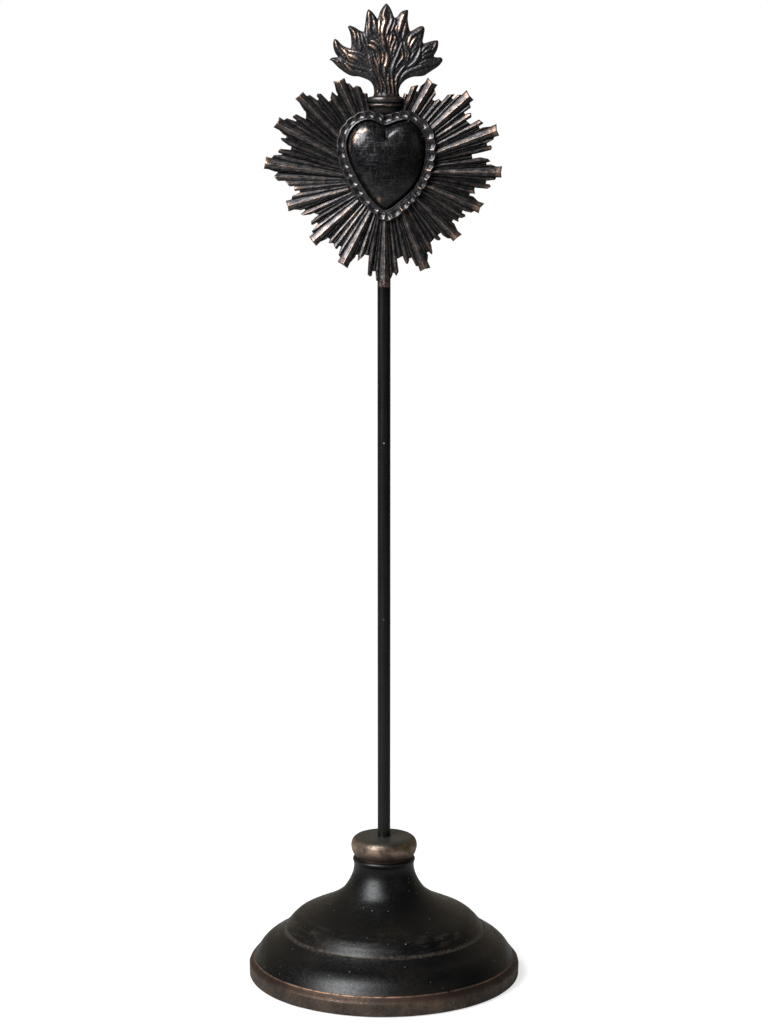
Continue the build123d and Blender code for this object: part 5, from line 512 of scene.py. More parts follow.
def sunburst_mesh():
    pts, high, wear_and_highlight, patina_and_shade = [], [], [], []
    edges, outline = [], []

    def put(p, h, w, c):
        pts.append((float(p[0]), float(p[1])))
        high.append(h)
        wear_and_highlight.append(w)
        patina_and_shade.append(c)
        return len(pts) - 1

    start = 1.8
    for kind, root_l, tip, root_r in RAYS:
        us = US[kind]
        wide = kind == "V" and len(tip) > 3     # the flat behind the neck
        if wide:
            us = (0.02, 0.1, 0.3, 0.5, 0.7, 0.9, 0.98)
        dl, dr = unit((tip[0][0] - root_l[0], tip[0][1] - root_l[1])), unit((tip[-1][0] - root_r[0], tip[-1][1] - root_r[1]))
        tip_width = math.dist(tip[0], tip[-1])
        hits = []
        for u in us:
            a, d = lerp(root_l, root_r, u), unit(lerp(dl, dr, u))
            best = None
            for j in range(len(tip) - 1):
                p, q = tip[j], tip[j + 1]
                e = (q[0] - p[0], q[1] - p[1])
                den = d[0] * e[1] - d[1] * e[0]
                if abs(den) < 1e-9:
                    continue
                t = ((p[0] - a[0]) * e[1] - (p[1] - a[1]) * e[0]) / den
                s = ((p[0] - a[0]) * d[1] - (p[1] - a[1]) * d[0]) / den
                if -1e-9 <= s <= 1 + 1e-9 and t > 0 and (best is None or t > best[0]):
                    best = (t, j + s)
            if best:
                hits.append((best[1], u, a, d, best[0]))
        hits.sort()
        keep = []
        for h in hits:                          # along the tip and across the strip in the same order
            if not keep or (h[0] > keep[-1][0] + 0.004 and h[1] > keep[-1][1]):
                keep.append(h)
        params = [0.0] + [h[0] for h in keep] + [len(tip) - 1.0]
        across = [0.0] + [h[1] for h in keep] + [1.0]
        marks = {round(h[0], 6): h for h in keep}
        stops = sorted(set(list(marks) + [float(j) for j in range(len(tip))]))
        full = []
        for a, b in zip(stops, stops[1:]):
            j = min(int(math.floor((a + b) / 2)), len(tip) - 2)
            run = math.dist(tip[j], tip[j + 1]) * (b - a)
            k = max(1, int(math.ceil(run / 0.45)))
            full += [a + (b - a) * m / k for m in range(k)]
        full.append(stops[-1])
        drop = 0.30 if kind in "MS" else 0.16
        for q in full:
            j = min(int(math.floor(q + 1e-9)), len(tip) - 2)
            p = lerp(tip[j], tip[j + 1], q - j)
            u = float(np.interp(q, params, across))
            here = (0.9 if wide else ray_profile(kind, u, 1.0, tip_width)) - drop
            on_side = u < 0.02 or u > 0.98
            # painted shade along the sides of the tips
            i = put(p, here, {"M": 0.46, "S": 0.38}.get(kind, 0.2), 0.25 if on_side else 0.0)
            outline.append(i)
            mark = marks.get(round(q, 6))
            if mark is None:
                continue
            _, u, a, d, reach = mark
            along = [start, start + 0.5] + list(np.arange(start + 1.1, reach - 0.9, 0.7)) + [reach - x for x in (0.62, 0.34, 0.14)]
            line = []
            for t in along:
                if t >= reach - 0.05 or t < start - 1e-6:
                    continue
                v = t / reach
                at = (a[0] + d[0] * t, a[1] + d[1] * t)
                width = (1 - v) * math.dist(root_l, root_r) + v * tip_width
                h = 0.9 if wide else ray_profile(kind, u, v, width)
                near_tip = reach - t
                h -= drop * max(0.0, 1 - near_tip / 0.42) ** 2
                lift = 0.0 if t < start + 0.6 else 1.0
                h = PLATE + (h - PLATE) * lift
                off = abs(u - 0.5) * width
                crest = math.exp(-(off / 0.19) ** 2)
                if kind == "M":
                    w = crest * (0.42 + 0.32 * v)
                elif kind == "S":
                    w = crest * (0.14 + 0.42 * v)
                elif kind in "LR":
                    w = crest * (0.10 + 0.26 * v)
                else:
                    w = 0.0 if wide else crest * 0.14 * v
                if kind != "V":
                    side = at[0] > 8.0 and at[1] < 334.0
                    w = max(w, ((0.44 if kind == "M" else 0.36) + 0.10 * side) * math.exp(-((near_tip / (3.6 if side else 2.6)) ** 2)))
                # painted shade in the valleys and down the low sides of the strips
                if kind == "V":
                    c = 1.0 if wide else 0.95 * (1 - 0.55 * crest)
                elif kind in "LR":
                    c = 0.75 * abs(2 * u - 1) ** 2
                else:
                    c = max(0.0, abs(2 * u - 1) - 0.45) / 0.55
                line.append(put(at, h, min(w, 1.0), c))
            line.append(i)
            edges += list(zip(line, line[1:]))
    edges += list(zip(outline, outline[1:] + outline[:1]))
    points, faces, origin = triangulate(pts, edges, [pts[i] for i in outline])
    values = np.column_stack([high, wear_and_highlight, patina_and_shade])
    data = np.zeros((len(points), 3))
    lost = [i for i, o in enumerate(origin) if not o]
    for i, o in enumerate(origin):
        if o:
            data[i] = values[o[0]]
    source = np.array(pts)
    for i in lost:                              # where two lines cross, the nearest known point's values
        data[i] = values[np.argmin(((source - points[i]) ** 2).sum(1))]
    height = data[:, 0]
    shown = smooth(np.hypot(points[:, 0], points[:, 1] - 318.1), 15.5, 17.5)
    height = height + shown * (0.03 * ripple(points, 7.0, 3) + 0.02 * ripple(points, 1.4, 4))
    verts, faces = cast_plate(points, faces, height, BACK_Y)
    spare = len(verts) - len(points)
    return verts, faces, {"wear_and_highlight": np.concatenate([data[:, 1], np.zeros(spare)]),
                          "patina_and_shade": np.concatenate([data[:, 2], np.zeros(spare)])}


# ---------------------------------------------------------------- heart
heart_ring = np.array(list(curve(HEART_RIGHT, 0.45)) + list(curve(HEART_LEFT[::-1], 0.45))[1:-1])


class Puff:
    """Height field of an inflated sheet that is held along the heart's outline, and partly along a slit under the notch."""

    def __init__(self, ring, slit, share, step=0.2):
        self.ring, self.step = ring, step
        self.low = ring.min(0) - 2 * step
        size = np.ceil((ring.max(0) - self.low) / step).astype(int) + 3
        xs = self.low[0] + np.arange(size[0]) * step
        zs = self.low[1] + np.arange(size[1]) * step
        gx, gz = np.meshgrid(xs, zs, indexing="ij")
        cells = np.column_stack([gx.ravel(), gz.ravel()])
        within = inside(cells, ring).reshape(gx.shape)
        away = distance(cells, ring)[0].reshape(gx.shape)
        held = distance(cells, slit, closed=False)[0].reshape(gx.shape) < step * 0.71
        whole = self.solve(within, within, size)
        cleft = self.solve(within, within & ~held, size)
        for _ in range(3):
            cleft[1:-1, 1:-1] = (4 * cleft[1:-1, 1:-1] + cleft[2:, 1:-1] + cleft[:-2, 1:-1] + cleft[1:-1, 2:] + cleft[1:-1, :-2]) / 8
        phi = whole * (1 - share) + cleft * share
        known = within & (away > 0.45)
        ratio = np.where(known, phi / np.maximum(away, 1e-6), 0.0)
        for _ in range(14):
            total, count = np.zeros_like(ratio), np.zeros_like(ratio)
            for dx in (-1, 0, 1):
                for dz in (-1, 0, 1):
                    total += np.roll(np.roll(ratio * known, dx, 0), dz, 1)
                    count += np.roll(np.roll(known.astype(float), dx, 0), dz, 1)
            fresh = ~known & (count > 0)
            ratio[fresh] = total[fresh] / count[fresh]
            known |= fresh
        self.ratio, self.top = ratio, phi.max()

    def solve(self, within, free, size):
        phi = np.zeros(within.shape)
        parity = np.add.outer(np.arange(size[0]), np.arange(size[1])) % 2
        black, red = free & (parity == 0), free & (parity == 1)
        omega = 2 / (1 + math.sin(math.pi / max(size)))
        for _ in range(700):
            for mask in (black, red):
                around = np.zeros_like(phi)
                around[1:-1, 1:-1] = phi[2:, 1:-1] + phi[:-2, 1:-1] + phi[1:-1, 2:] + phi[1:-1, :-2]
                new = (around + self.step * self.step) / 4
                phi[mask] += omega * (new[mask] - phi[mask])
        return phi

    def __call__(self, points):
        p = np.asarray(points, float)
        f = (p - self.low) / self.step
        i = np.clip(np.floor(f).astype(int), 0, np.array(self.ratio.shape) - 2)
        t = f - i
        r = self.ratio
        value = (r[i[:, 0], i[:, 1]] * (1 - t[:, 0]) * (1 - t[:, 1]) + r[i[:, 0] + 1, i[:, 1]] * t[:, 0] * (1 - t[:, 1])
                 + r[i[:, 0], i[:, 1] + 1] * (1 - t[:, 0]) * t[:, 1] + r[i[:, 0] + 1, i[:, 1] + 1] * t[:, 0] * t[:, 1])
        return np.clip(value * distance(p, self.ring)[0] / self.top, 0, 1)


def heart_mesh():
    notch = max((tuple(HEART_RIGHT[0]), tuple(HEART_RIGHT[-1])), key=lambda q: q[1])
    slit = [(notch[0], notch[1] + 0.3), (notch[0] + 0.2, notch[1] - 1.8), (notch[0] + 0.4, notch[1] - 3.6)]
    puff = Puff(heart_ring, slit, 0.70)
    ring = heart_ring
    n, mid = len(ring), np.array(HEART_MID)
    levels = 1 - np.concatenate([[0, 0.004, 0.012, 0.026, 0.045], np.linspace(0.07, 0.985, 44)])
    points = np.vstack([mid + (ring - mid) * s for s in levels] + [mid[None, :]])
    height = 0.90 * HEART_HEIGHT * puff(points) ** 0.37
    # a little lower towards the lower right
    height *= 1 - 0.16 * smooth((points - mid) @ np.array([0.75, -0.66]) / 14.0, 0.0, 1.0)
    height[:n] = 0.0
    # cast unevenness, and the shallow flats of hand filing
    height += smooth(height, 0.3, 2.0) * (0.05 * ripple(points, 9.0, 21) + 0.018 * ripple(points, 2.2, 22))
    verts = np.column_stack([points[:, 0], FRONT_Y - HEART_FLOOR - height, points[:, 1]])
    faces = []
    for k in range(len(levels) - 1):
        for i in range(n):
            j = (i + 1) % n
            faces.append((k * n + i, k * n + j, (k + 1) * n + j, (k + 1) * n + i))
    last, apex = (len(levels) - 1) * n, len(levels) * n
    faces += [(last + i, last + (i + 1) % n, apex) for i in range(n)]
    faces.append(tuple(range(n - 1, -1, -1)))   # flat back
    # rubbed patches: low on the right, by the point, on the left foot and by the right edge; the two on the upper left
    # lobe and the one beside the cleft are painted highlights, where the light falls
    rub_and_highlight = np.zeros(len(points))
    for x, z, sx, sz, a in ((2.7, 313.4, 1.5, 3.0, 0.33), (-1.9, 306.4, 1.0, 2.2, 0.50), (13.2, 321.6, 1.0, 2.6, 0.30),
                            (-13.0, 326.8, 0.7, 4.6, 0.50), (12.8, 314.6, 0.8, 1.4, 0.30), (-10.6, 329.6, 2.4, 4.6, 0.36), (-8.0, 332.0, 2.8, 1.8, 0.40),
                            (3.4, 330.9, 2.4, 1.4, 0.24)):
        rub_and_highlight = np.maximum(rub_and_highlight, a * np.exp(-((points[:, 0] - x) / sx) ** 2 - ((points[:, 1] - z) / sz) ** 2))
    # painted shade: darker low round the edge, and more towards the right, away from the light
    patina_and_shade = 0.75 * (1 - smooth(height, 0.0, 1.2)) * (0.45 + 0.55 * smooth(points[:, 0], -9.0, 5.0))
    # painted shade beside the cleft, left off along one line so the highlight there shows as a narrow streak
    line, _ = distance(points, np.array([[1.3, 329.6], [5.2, 332.6]]), closed=False)
    near = np.exp(-(np.hypot(points[:, 0] - 3.1, points[:, 1] - 330.0) / 3.9) ** 4)
    patina_and_shade = np.maximum(patina_and_shade, 0.97 * near * smooth(line, 0.16, 0.62))
    return verts, faces, {"wear_and_highlight": rub_and_highlight, "patina_and_shade": patina_and_shade}


# ---------------------------------------------------------------- scalloped border
def border_mesh():
    mid = np.array(HEART_MID)
    cusps = np.array(BORDER_CUSPS)
    # each cusp's foot on the heart's outline, kept in order round it
    _, where = distance(cusps, heart_ring)
    n_ring = len(heart_ring)
    if ((where[1] - where[0]) % n_ring) > n_ring / 2:
        heart = heart_ring[::-1]
        _, where = distance(cusps, heart)
    else:
        heart = heart_ring
    where = where.copy()
    for i in range(1, len(where)):
        while where[i] <= where[i - 1]:
            where[i] += n_ring
    loop = np.vstack([heart, heart[:1]])

    def foot(w):
        w = w % n_ring
        i = int(math.floor(w))
        return loop[i] + (loop[i + 1] - loop[i]) * (w - i)

    ts = (0.0, 0.025, 0.055, 0.09, 0.14, 0.21, 0.30, 0.40, 0.50, 0.60, 0.70, 0.79, 0.86, 0.91, 0.945, 0.975)
    inner, outer, phase = [], [], []
    count = len(cusps)
    for j in range(count):
        a, b = cusps[j], cusps[(j + 1) % count]
        wa, wb = where[j], where[j + 1] if j + 1 < count else where[0] + n_ring
        m, span = (a + b) / 2, np.linalg.norm(b - a)
        out = np.array([-(b - a)[1], (b - a)[0]]) / span
        if out @ (m - mid) < 0:
            out = -out
        bulge = min(0.6, 0.18 * span)
        for t in ts:
            outer.append(a + (b - a) * t + out * bulge * (1 - (2 * t - 1) ** 2))
            inner.append(foot(wa + (wb - wa) * t))
            phase.append(t)
    inner, outer, phase = np.array(inner), np.array(outer), np.array(phase)
    n = len(phase)
    s2 = (2 * phase - 1) ** 2
    rib = s2 * (1.35 - 0.35 * s2 ** 3)          # 0 in the middle of a cup, 1 on the rib beside it, rounded
    floor_line = curve([(0.0, 1.0), (0.05, 1.02), (0.09, 1.50), (0.13, 2.16), (0.165, 2.40), (0.205, 2.38), (0.30, 2.06), (0.33, 1.94),
                        (0.36, 2.02), (0.40, 1.98), (0.48, 1.74), (0.55, 1.60), (0.61, 1.59), (0.68, 1.74), (0.76, 1.98), (0.84, 2.28),
                        (0.88, 2.44), (0.905, 2.46), (0.95, 2.30), (1.0, 2.03)], 0.02)
    crest_line = curve([(0.0, 1.0), (0.05, 1.02), (0.09, 1.50), (0.13, 2.16), (0.165, 2.42), (0.205, 2.42), (0.30, 2.16), (0.33, 2.10),
                        (0.36, 2.16), (0.40, 2.20), (0.48, 2.24), (0.55, 2.30), (0.61, 2.38), (0.68, 2.48), (0.76, 2.60), (0.84, 2.71),
                        (0.88, 2.77), (0.905, 2.78), (0.95, 2.62), (1.0, 2.33)], 0.02)
    qs = np.array([0.0, 0.03, 0.06, 0.08, 0.10, 0.12, 0.14, 0.16, 0.18, 0.205, 0.235, 0.265, 0.295, 0.315, 0.335, 0.355, 0.38, 0.42, 0.46,
                   0.50, 0.55, 0.60, 0.65, 0.70, 0.75, 0.80, 0.84, 0.87, 0.895, 0.915, 0.935, 0.955, 0.975, 0.99, 1.0])
    rows, wear_and_highlight, patina_and_shade = [], [], []
    for q in qs:
        p = inner + (outer - inner) * q
        floor = float(np.interp(q, floor_line[:, 0], floor_line[:, 1]))
        crest = float(np.interp(q, crest_line[:, 0], crest_line[:, 1]))
        rows.append((p, floor + (crest - floor) * rib))
        rib_top = rib ** 4 * float(smooth(q, 0.40, 0.55) * (1 - smooth(q, 0.93, 1.0)))
        edge = float(smooth(q, 0.88, 0.92) * (1 - smooth(q, 0.95, 0.99)))
        lead = float(smooth(q, 0.14, 0.19) * (1 - smooth(q, 0.24, 0.30)))
        # painted highlight on the cup walls facing the lower right, which lie in the heart's shadow
        blob_highlight = float(smooth(q, 0.48, 0.60) * (1 - smooth(q, 0.90, 0.96)))
        right = smooth((outer - inner) @ np.array([0.80, -0.60]) / np.linalg.norm(outer - inner, axis=1), 0.35, 0.85)
        wear_and_highlight.append(np.clip(0.12 * edge + 0.20 * rib_top + 0.04 * lead + 0.23 * blob_highlight * right * (0.6 + 0.4 * rib), 0, 1))
        # painted shade: at the heart's foot, on the ledge top, in the groove beside the ledge and in the cup floors
        top = float(smooth(q, 0.10, 0.15) * (1 - smooth(q, 0.19, 0.25)))
        step = math.exp(-((q - 0.345) / 0.03) ** 2)
        patina_and_shade.append(np.clip((1 - rib) * 0.2 * float(smooth(q, 0.5, 0.6) * (1 - smooth(q, 0.66, 0.78))) + 1.0 * float(1 - smooth(q, 0.05, 0.15))
                              + 0.5 * top + 0.75 * step, 0, 1))
    # outer wall down to the ray plate, slightly drafted
    verts, fields = [], {"wear_and_highlight": [], "patina_and_shade": []}
    for (p, h), w, c in zip(rows, wear_and_highlight, patina_and_shade):
        verts.append(np.column_stack([p[:, 0], FRONT_Y - h, p[:, 1]]))
        fields["wear_and_highlight"].append(w)
        fields["patina_and_shade"].append(c)
    # painted shade, darker down the outer wall towards the plate
    for share, c in ((0.55, 0.5), (0.3, 0.8), (-0.02, 1.0)):
        p = mid + (outer - mid) * (1 + 0.004 * (1 - share))
        verts.append(np.column_stack([p[:, 0], np.full(n, FRONT_Y - share * 2.2), p[:, 1]]))
        fields["wear_and_highlight"].append(np.full(n, 0.0))
        fields["patina_and_shade"].append(np.full(n, c))
    grid = np.vstack(verts)
    r = len(verts)
    faces = []
    for k in range(r - 1):
        for i in range(n):
            j = (i + 1) % n
            faces.append((k * n + i, k * n + j, (k + 1) * n + j, (k + 1) * n + i))
    faces.append(tuple(range(n)))                              # floor under the heart
    faces.append(tuple((r - 1) * n + i for i in range(n - 1, -1, -1)))   # back
    grid[:, 1] -= 0.02 * ripple(grid[:, [0, 2]], 2.4, 31) * smooth(FRONT_Y - grid[:, 1], 0.2, 1.0)
    fields = {k: np.concatenate(v) for k, v in fields.items()}
    top = [f for f in faces[:-2] if max(f) < (r - 3) * n]
    # more painted shade in the hollows found from the cavity
    dip = cavity(len(grid), top, FRONT_Y - grid[:, 1], 6)
    fields["patina_and_shade"] = np.clip(0.9 * fields["patina_and_shade"] + 0.35 * np.clip((dip - 0.02) / 0.08, 0, 1), 0, 1)
    return grid, faces, fields


# ---------------------------------------------------------------- flame
def strand(points, spine):
    """Relief of one strand of fire, a low roof with a slightly rounded ridge, and how much of each point is lit ridge or flank."""
    s = curve(spine, 0.3)
    s[:, 2] = np.maximum(s[:, 2], 0.22)
    d, where = distance(points, s[:, :2], closed=False)
    i = np.clip(np.floor(where).astype(int), 0, len(s) - 2)
    t = where - i
    half = s[i, 2] * (1 - t) + s[i + 1, 2] * t
    high = s[i, 3] * (1 - t) + s[i + 1, 3] * t
    q = d / half
    e = 0.16
    roof = np.clip((math.sqrt(1 + e * e) - np.sqrt(q * q + e * e)) / (math.sqrt(1 + e * e) - e), 0, 1)
    return high * roof, 1 - smooth(q, 0.45, 0.95)


NECK = ((343.2, 0.95, 4.95, 4.3), (345.3, 0.95, 4.85, 4.1), (347.2, 1.0, 4.95, 3.9), (349.0, 1.05, 5.6, 3.6),
        (350.8, 1.0, 7.1, 3.1), (352.4, 0.9, 8.8, 2.5), (354.5, 0.9, 10.5, 1.2))


def flame_height(p, ring):
    x, z = p[:, 0], p[:, 1]
    away, _ = distance(p, ring)
    field = 0.7 + 0.95 * (1 - np.exp(-away / 1.0)) + 1.7 * np.clip(1 - ((x - 0.9) / 22.0) ** 2 - ((z - 356.0) / 23.5) ** 2, 0, 1)
    neck = np.array(NECK)
    cx = np.interp(z, neck[:, 0], neck[:, 1])
    a = np.interp(z, neck[:, 0], neck[:, 2])
    b = np.interp(z, neck[:, 0], neck[:, 3])
    across = np.clip((x - cx) / (a * 1.04), -1, 1)
    round_neck = b * np.sqrt(1 - across ** 2) * (1 - smooth(z, 351.0, 355.5))
    parts = [strand(p, spine) for spine in STRANDS]
    # broad low swells first, and the strands on top of them
    swell = [float(np.mean([q[3] for q in spine])) < 0.28 and max(q[2] for q in spine) > 1.0 for spine in STRANDS]
    under = smooth_max(np.array([q[0] for q, s in zip(parts, swell) if s]), 20)
    over = smooth_max(np.array([q[0] for q, s in zip(parts, swell) if not s]), 34)
    relief = under + over
    crest = np.array([q[1] * (q[0] > over * 0.9 - 0.02) for q, s in zip(parts, swell) if not s]).max(0)
    # copper rubs on the lit stretches: partly real rub, partly painted highlight
    lighter_marks = np.zeros(len(p))
    for rx, rz, r, share in RUBS_AND_HIGHLIGHTS:
        lighter_marks = np.maximum(lighter_marks, share * np.exp(-(((x - rx) ** 2 + (z - rz) ** 2) / (r * r)) ** 1.5))
    brown = np.zeros(len(p))
    for rx, rz, r, share in ((7.7, 372.3, 2.7, 0.34), (8.0, 368.5, 2.1, 0.30), (12.7, 364.7, 3.0, 0.30), (14.0, 368.8, 1.5, 0.30), (19.5, 363.6, 1.6, 0.34), (20.1, 356.5, 2.8, 0.34), (-7.7, 357.3, 2.2, 0.30),
                             (-10.1, 354.1, 3.0, 0.26), (3.3, 363.6, 1.8, 0.26), (-13.0, 355.1, 1.8, 0.26), (16.3, 354.5, 2.7, 0.22), (-18.3, 363.6, 1.2, 0.30), (4.1, 366.8, 1.2, 0.30)):
        brown = np.maximum(brown, share * np.exp(-(((x - rx) ** 2 + (z - rz) ** 2) / (r * r)) ** 1.5))
    on_neck = smooth(round_neck, 1.5, 3.0)
    rub_and_highlight = np.maximum(crest * (0.10 + 0.64 * lighter_marks), brown * (0.55 + 0.45 * crest))
    rub_and_highlight = np.maximum(rub_and_highlight, on_neck * (0.18 + 0.20 * crest))
    # the strands run down the neck as low flutes
    flutes = over - 0.34
    neck_top = np.where(round_neck > 0.3, round_neck + flutes * smooth(round_neck, 0.5, 2.0), 1e-3)
    h = smooth_max([field + relief, np.maximum(neck_top, 1e-3)], 12)
    h = h - 0.45 * np.clip(1 - away / 0.28, 0, 1) ** 2
    # dark grooves between the strands and round the neck: dark patina and painted shade
    deep = 0.9 * (1 - smooth(over, 0.02, 0.14))
    deep = deep * (1 - smooth(round_neck, 1.5, 3.0)) + (1 - smooth(over, 0.05, 0.26)) * 0.55 * smooth(round_neck, 1.5, 3.0)
    return np.maximum(h, 0.3), rub_and_highlight, np.clip(deep, 0, 1), away


def flame_mesh():
    ring = curve(FLAME, 0.4)
    ring = ring[ring[:, 1] >= 344.2]
    ring = np.vstack([ring, [[5.85, 344.2], [3.4, 344.2], [0.95, 344.2], [-1.5, 344.2], [-3.9, 344.2]]])
    n = len(ring)
    edges = [(i, (i + 1) % n) for i in range(n)]
    pts = [tuple(q) for q in ring]
    step = 0.21
    lo, hi = ring.min(0), ring.max(0)
    grid = []
    row = 0
    z = lo[1]
    while z < hi[1]:
        xs = np.arange(lo[0] + (row % 2) * step / 2, hi[0], step)
        grid.append(np.column_stack([xs, np.full(len(xs), z)]))
        z += step * 0.866
        row += 1
    grid = np.vstack(grid)
    grid = grid[inside(grid, ring)]
    grid = grid[distance(grid, ring)[0] > 0.16]
    # an offset row inside the outline keeps its edge round
    norm = np.roll(ring, -1, 0) - np.roll(ring, 1, 0)
    norm = np.column_stack([-norm[:, 1], norm[:, 0]]) / np.maximum(np.linalg.norm(norm, axis=1), 1e-6)[:, None]
    row_in = ring + norm * 0.10
    if not inside(row_in[len(row_in) // 3:len(row_in) // 3 + 1], ring)[0]:
        row_in = ring - norm * 0.10
    row_in = row_in[inside(row_in, ring)]
    row_in = row_in[distance(row_in, ring)[0] > 0.07]
    pts += [tuple(q) for q in row_in] + [tuple(q) for q in grid]
    points, faces, _ = triangulate(pts, edges, ring)
    h, crest, deep, away = flame_height(points, ring)
    h = h + 0.03 * ripple(points, 1.3, 41) * smooth(away, 0.1, 0.5)
    dip = cavity(len(points), faces, h, 14)
    inner = smooth(away, 0.2, 0.9)
    rim = 0.26 * smooth(points[:, 0], 3, 12) + 0.10
    wear_and_highlight = np.maximum(crest * np.clip(0.55 + inner * np.clip(-dip / 0.08, 0, 1), 0, 1), rim * (1 - smooth(away, 0.1, 1.0)))
    # painted shade in the hollows found from the cavity, with the dark patina
    deep = np.clip(0.44 * deep + inner * np.clip(dip / 0.07, 0, 1), 0, 1)
    verts, faces = cast_plate(points, faces, h, FRONT_Y)
    spare = len(verts) - len(points)
    return verts, faces, {"wear_and_highlight": np.concatenate([np.clip(wear_and_highlight, 0, 1), np.zeros(spare)]),
                          "patina_and_shade": np.concatenate([deep, np.zeros(spare)])}


def ring_mesh():
    """Double ring and stub under the flame: half-round sections on a flat back."""
    # z, centre x, half width, height, wear, dark patina and painted shade in the grooves
    rows = [(336.9, 0.85, 4.2, 1.2, 0, 1), (337.6, 0.85, 4.5, 2.0, 0, 1), (338.4, 0.85, 4.75, 2.9, 0, 0.9), (339.0, 0.8, 4.85, 3.3, 0.04, 0.7),
            (339.8, 0.7, 4.95, 3.5, 0.04, 0.5), (340.5, 0.55, 5.1, 3.65, 0, 0.8), (340.78, 0.5, 5.3, 4.0, 0, 0.8),
            (340.88, 0.45, 5.75, 4.6, 0.08, 0.4), (341.0, 0.45, 6.1, 5.0, 0.29, 0.1), (341.2, 0.45, 6.27, 5.17, 0.38, 0), (341.5, 0.45, 6.3, 5.2, 0.38, 0),
            (341.78, 0.45, 6.24, 5.13, 0.29, 0), (341.93, 0.45, 6.05, 4.95, 0.13, 0.3), (342.02, 0.45, 5.75, 4.66, 0, 1),
            (342.25, 0.45, 5.7, 4.6, 0, 1), (342.42, 0.45, 5.78, 4.68, 0, 1), (342.52, 0.45, 6.15, 5.02, 0.08, 0.4),
            (342.68, 0.45, 6.42, 5.27, 0.25, 0.1), (342.95, 0.45, 6.52, 5.37, 0.25, 0), (343.4, 0.45, 6.56, 5.41, 0.21, 0), (343.85, 0.45, 6.52, 5.38, 0.25, 0),
            (344.15, 0.45, 6.40, 5.27, 0.34, 0), (344.36, 0.5, 6.12, 5.02, 0.25, 0.1), (344.48, 0.6, 5.7, 4.7, 0.08, 0.5),
            (344.55, 0.8, 5.2, 4.45, 0, 0.9), (344.8, 0.95, 4.95, 4.3, 0, 0.8), (345.4, 0.95, 4.75, 4.05, 0, 0.3), (346.2, 0.95, 4.5, 3.6, 0, 0), (347.2, 0.95, 3.8, 2.8, 0, 0)]
    m = 64
    turn = np.pi * np.arange(m + 1) / m
    verts, wear_and_highlight, patina_and_shade = [], [], []
    for z, cx, a, b, w, c in rows:
        x, y = cx + a * np.cos(turn), b * np.sin(turn)
        pads = smooth(z, 344.5, 344.9) * (1 - smooth(z, 345.6, 346.2))
        y = y + 0.16 * pads * np.cos((turn - np.pi / 2) * -9.0 + 0.5) * np.sin(turn)
        y = y + 0.06 * float(z > 344.3)                                     # inside the flame's back
        verts.append(np.column_stack([x, FRONT_Y - y, np.full(m + 1, z)]))
        wear_and_highlight.append(np.full(m + 1, 0.82 * w))
        patina_and_shade.append(np.full(m + 1, float(c)))
        patina_and_shade[-1][[0, -1]] *= 0.15
    grid = np.vstack(verts)
    grid[:, 1] -= 0.02 * ripple(grid, 2.0, 51) * (FRONT_Y - grid[:, 1] > 0.3)
    faces = []
    k = m + 1
    for r in range(len(rows) - 1):
        for i in range(m):
            faces.append((r * k + i, r * k + i + 1, (r + 1) * k + i + 1, (r + 1) * k + i))
        faces.append((r * k + m, r * k, (r + 1) * k, (r + 1) * k + m))      # flat back
    faces.append(tuple(range(m, -1, -1)))
    top = (len(rows) - 1) * k
    faces.append(tuple(top + i for i in range(k)))
    return grid, faces, {"wear_and_highlight": np.concatenate(wear_and_highlight), "patina_and_shade": np.concatenate(patina_and_shade)}


# ---------------------------------------------------------------- turned pieces
def turned(profile, segments=224, uneven=0.0, size=14.0, seed=1, closed=True):
    """Revolved (radius, z) profile; radius 0 isn't used, the profile is a closed ring of points."""
    prof = np.asarray(profile, float)
    n = len(prof)
    turn = 2 * np.pi * np.arange(segments) / segments
    verts = np.zeros((segments, n, 3))
    verts[:, :, 0] = np.cos(turn)[:, None] * prof[None, :, 0]
    verts[:, :, 1] = np.sin(turn)[:, None] * prof[None, :, 0]
    verts[:, :, 2] = prof[None, :, 1]
    verts = verts.reshape(-1, 3)
    if uneven:
        r = np.hypot(verts[:, 0], verts[:, 1])
        grow = uneven * ripple(verts, size, seed)
        # never outwards past the CAD's own radius by more than the unevenness
        verts[:, 0] *= 1 + grow / np.maximum(r, 1)
        verts[:, 1] *= 1 + grow / np.maximum(r, 1)
    faces = []
    for s in range(segments):
        t = (s + 1) % segments
        for i in range(n):
            j = (i + 1) % n
            faces.append((s * n + i, s * n + j, t * n + j, t * n + i))
    return verts, faces


def line_points(points, step):
    p = np.asarray(points, float)
    out = []
    for a, b in zip(p, p[1:]):
        k = max(1, int(math.ceil(np.linalg.norm(b - a) / step)))
        out += [a + (b - a) * j / k for j in range(k)]
    out.append(p[-1])
    return out


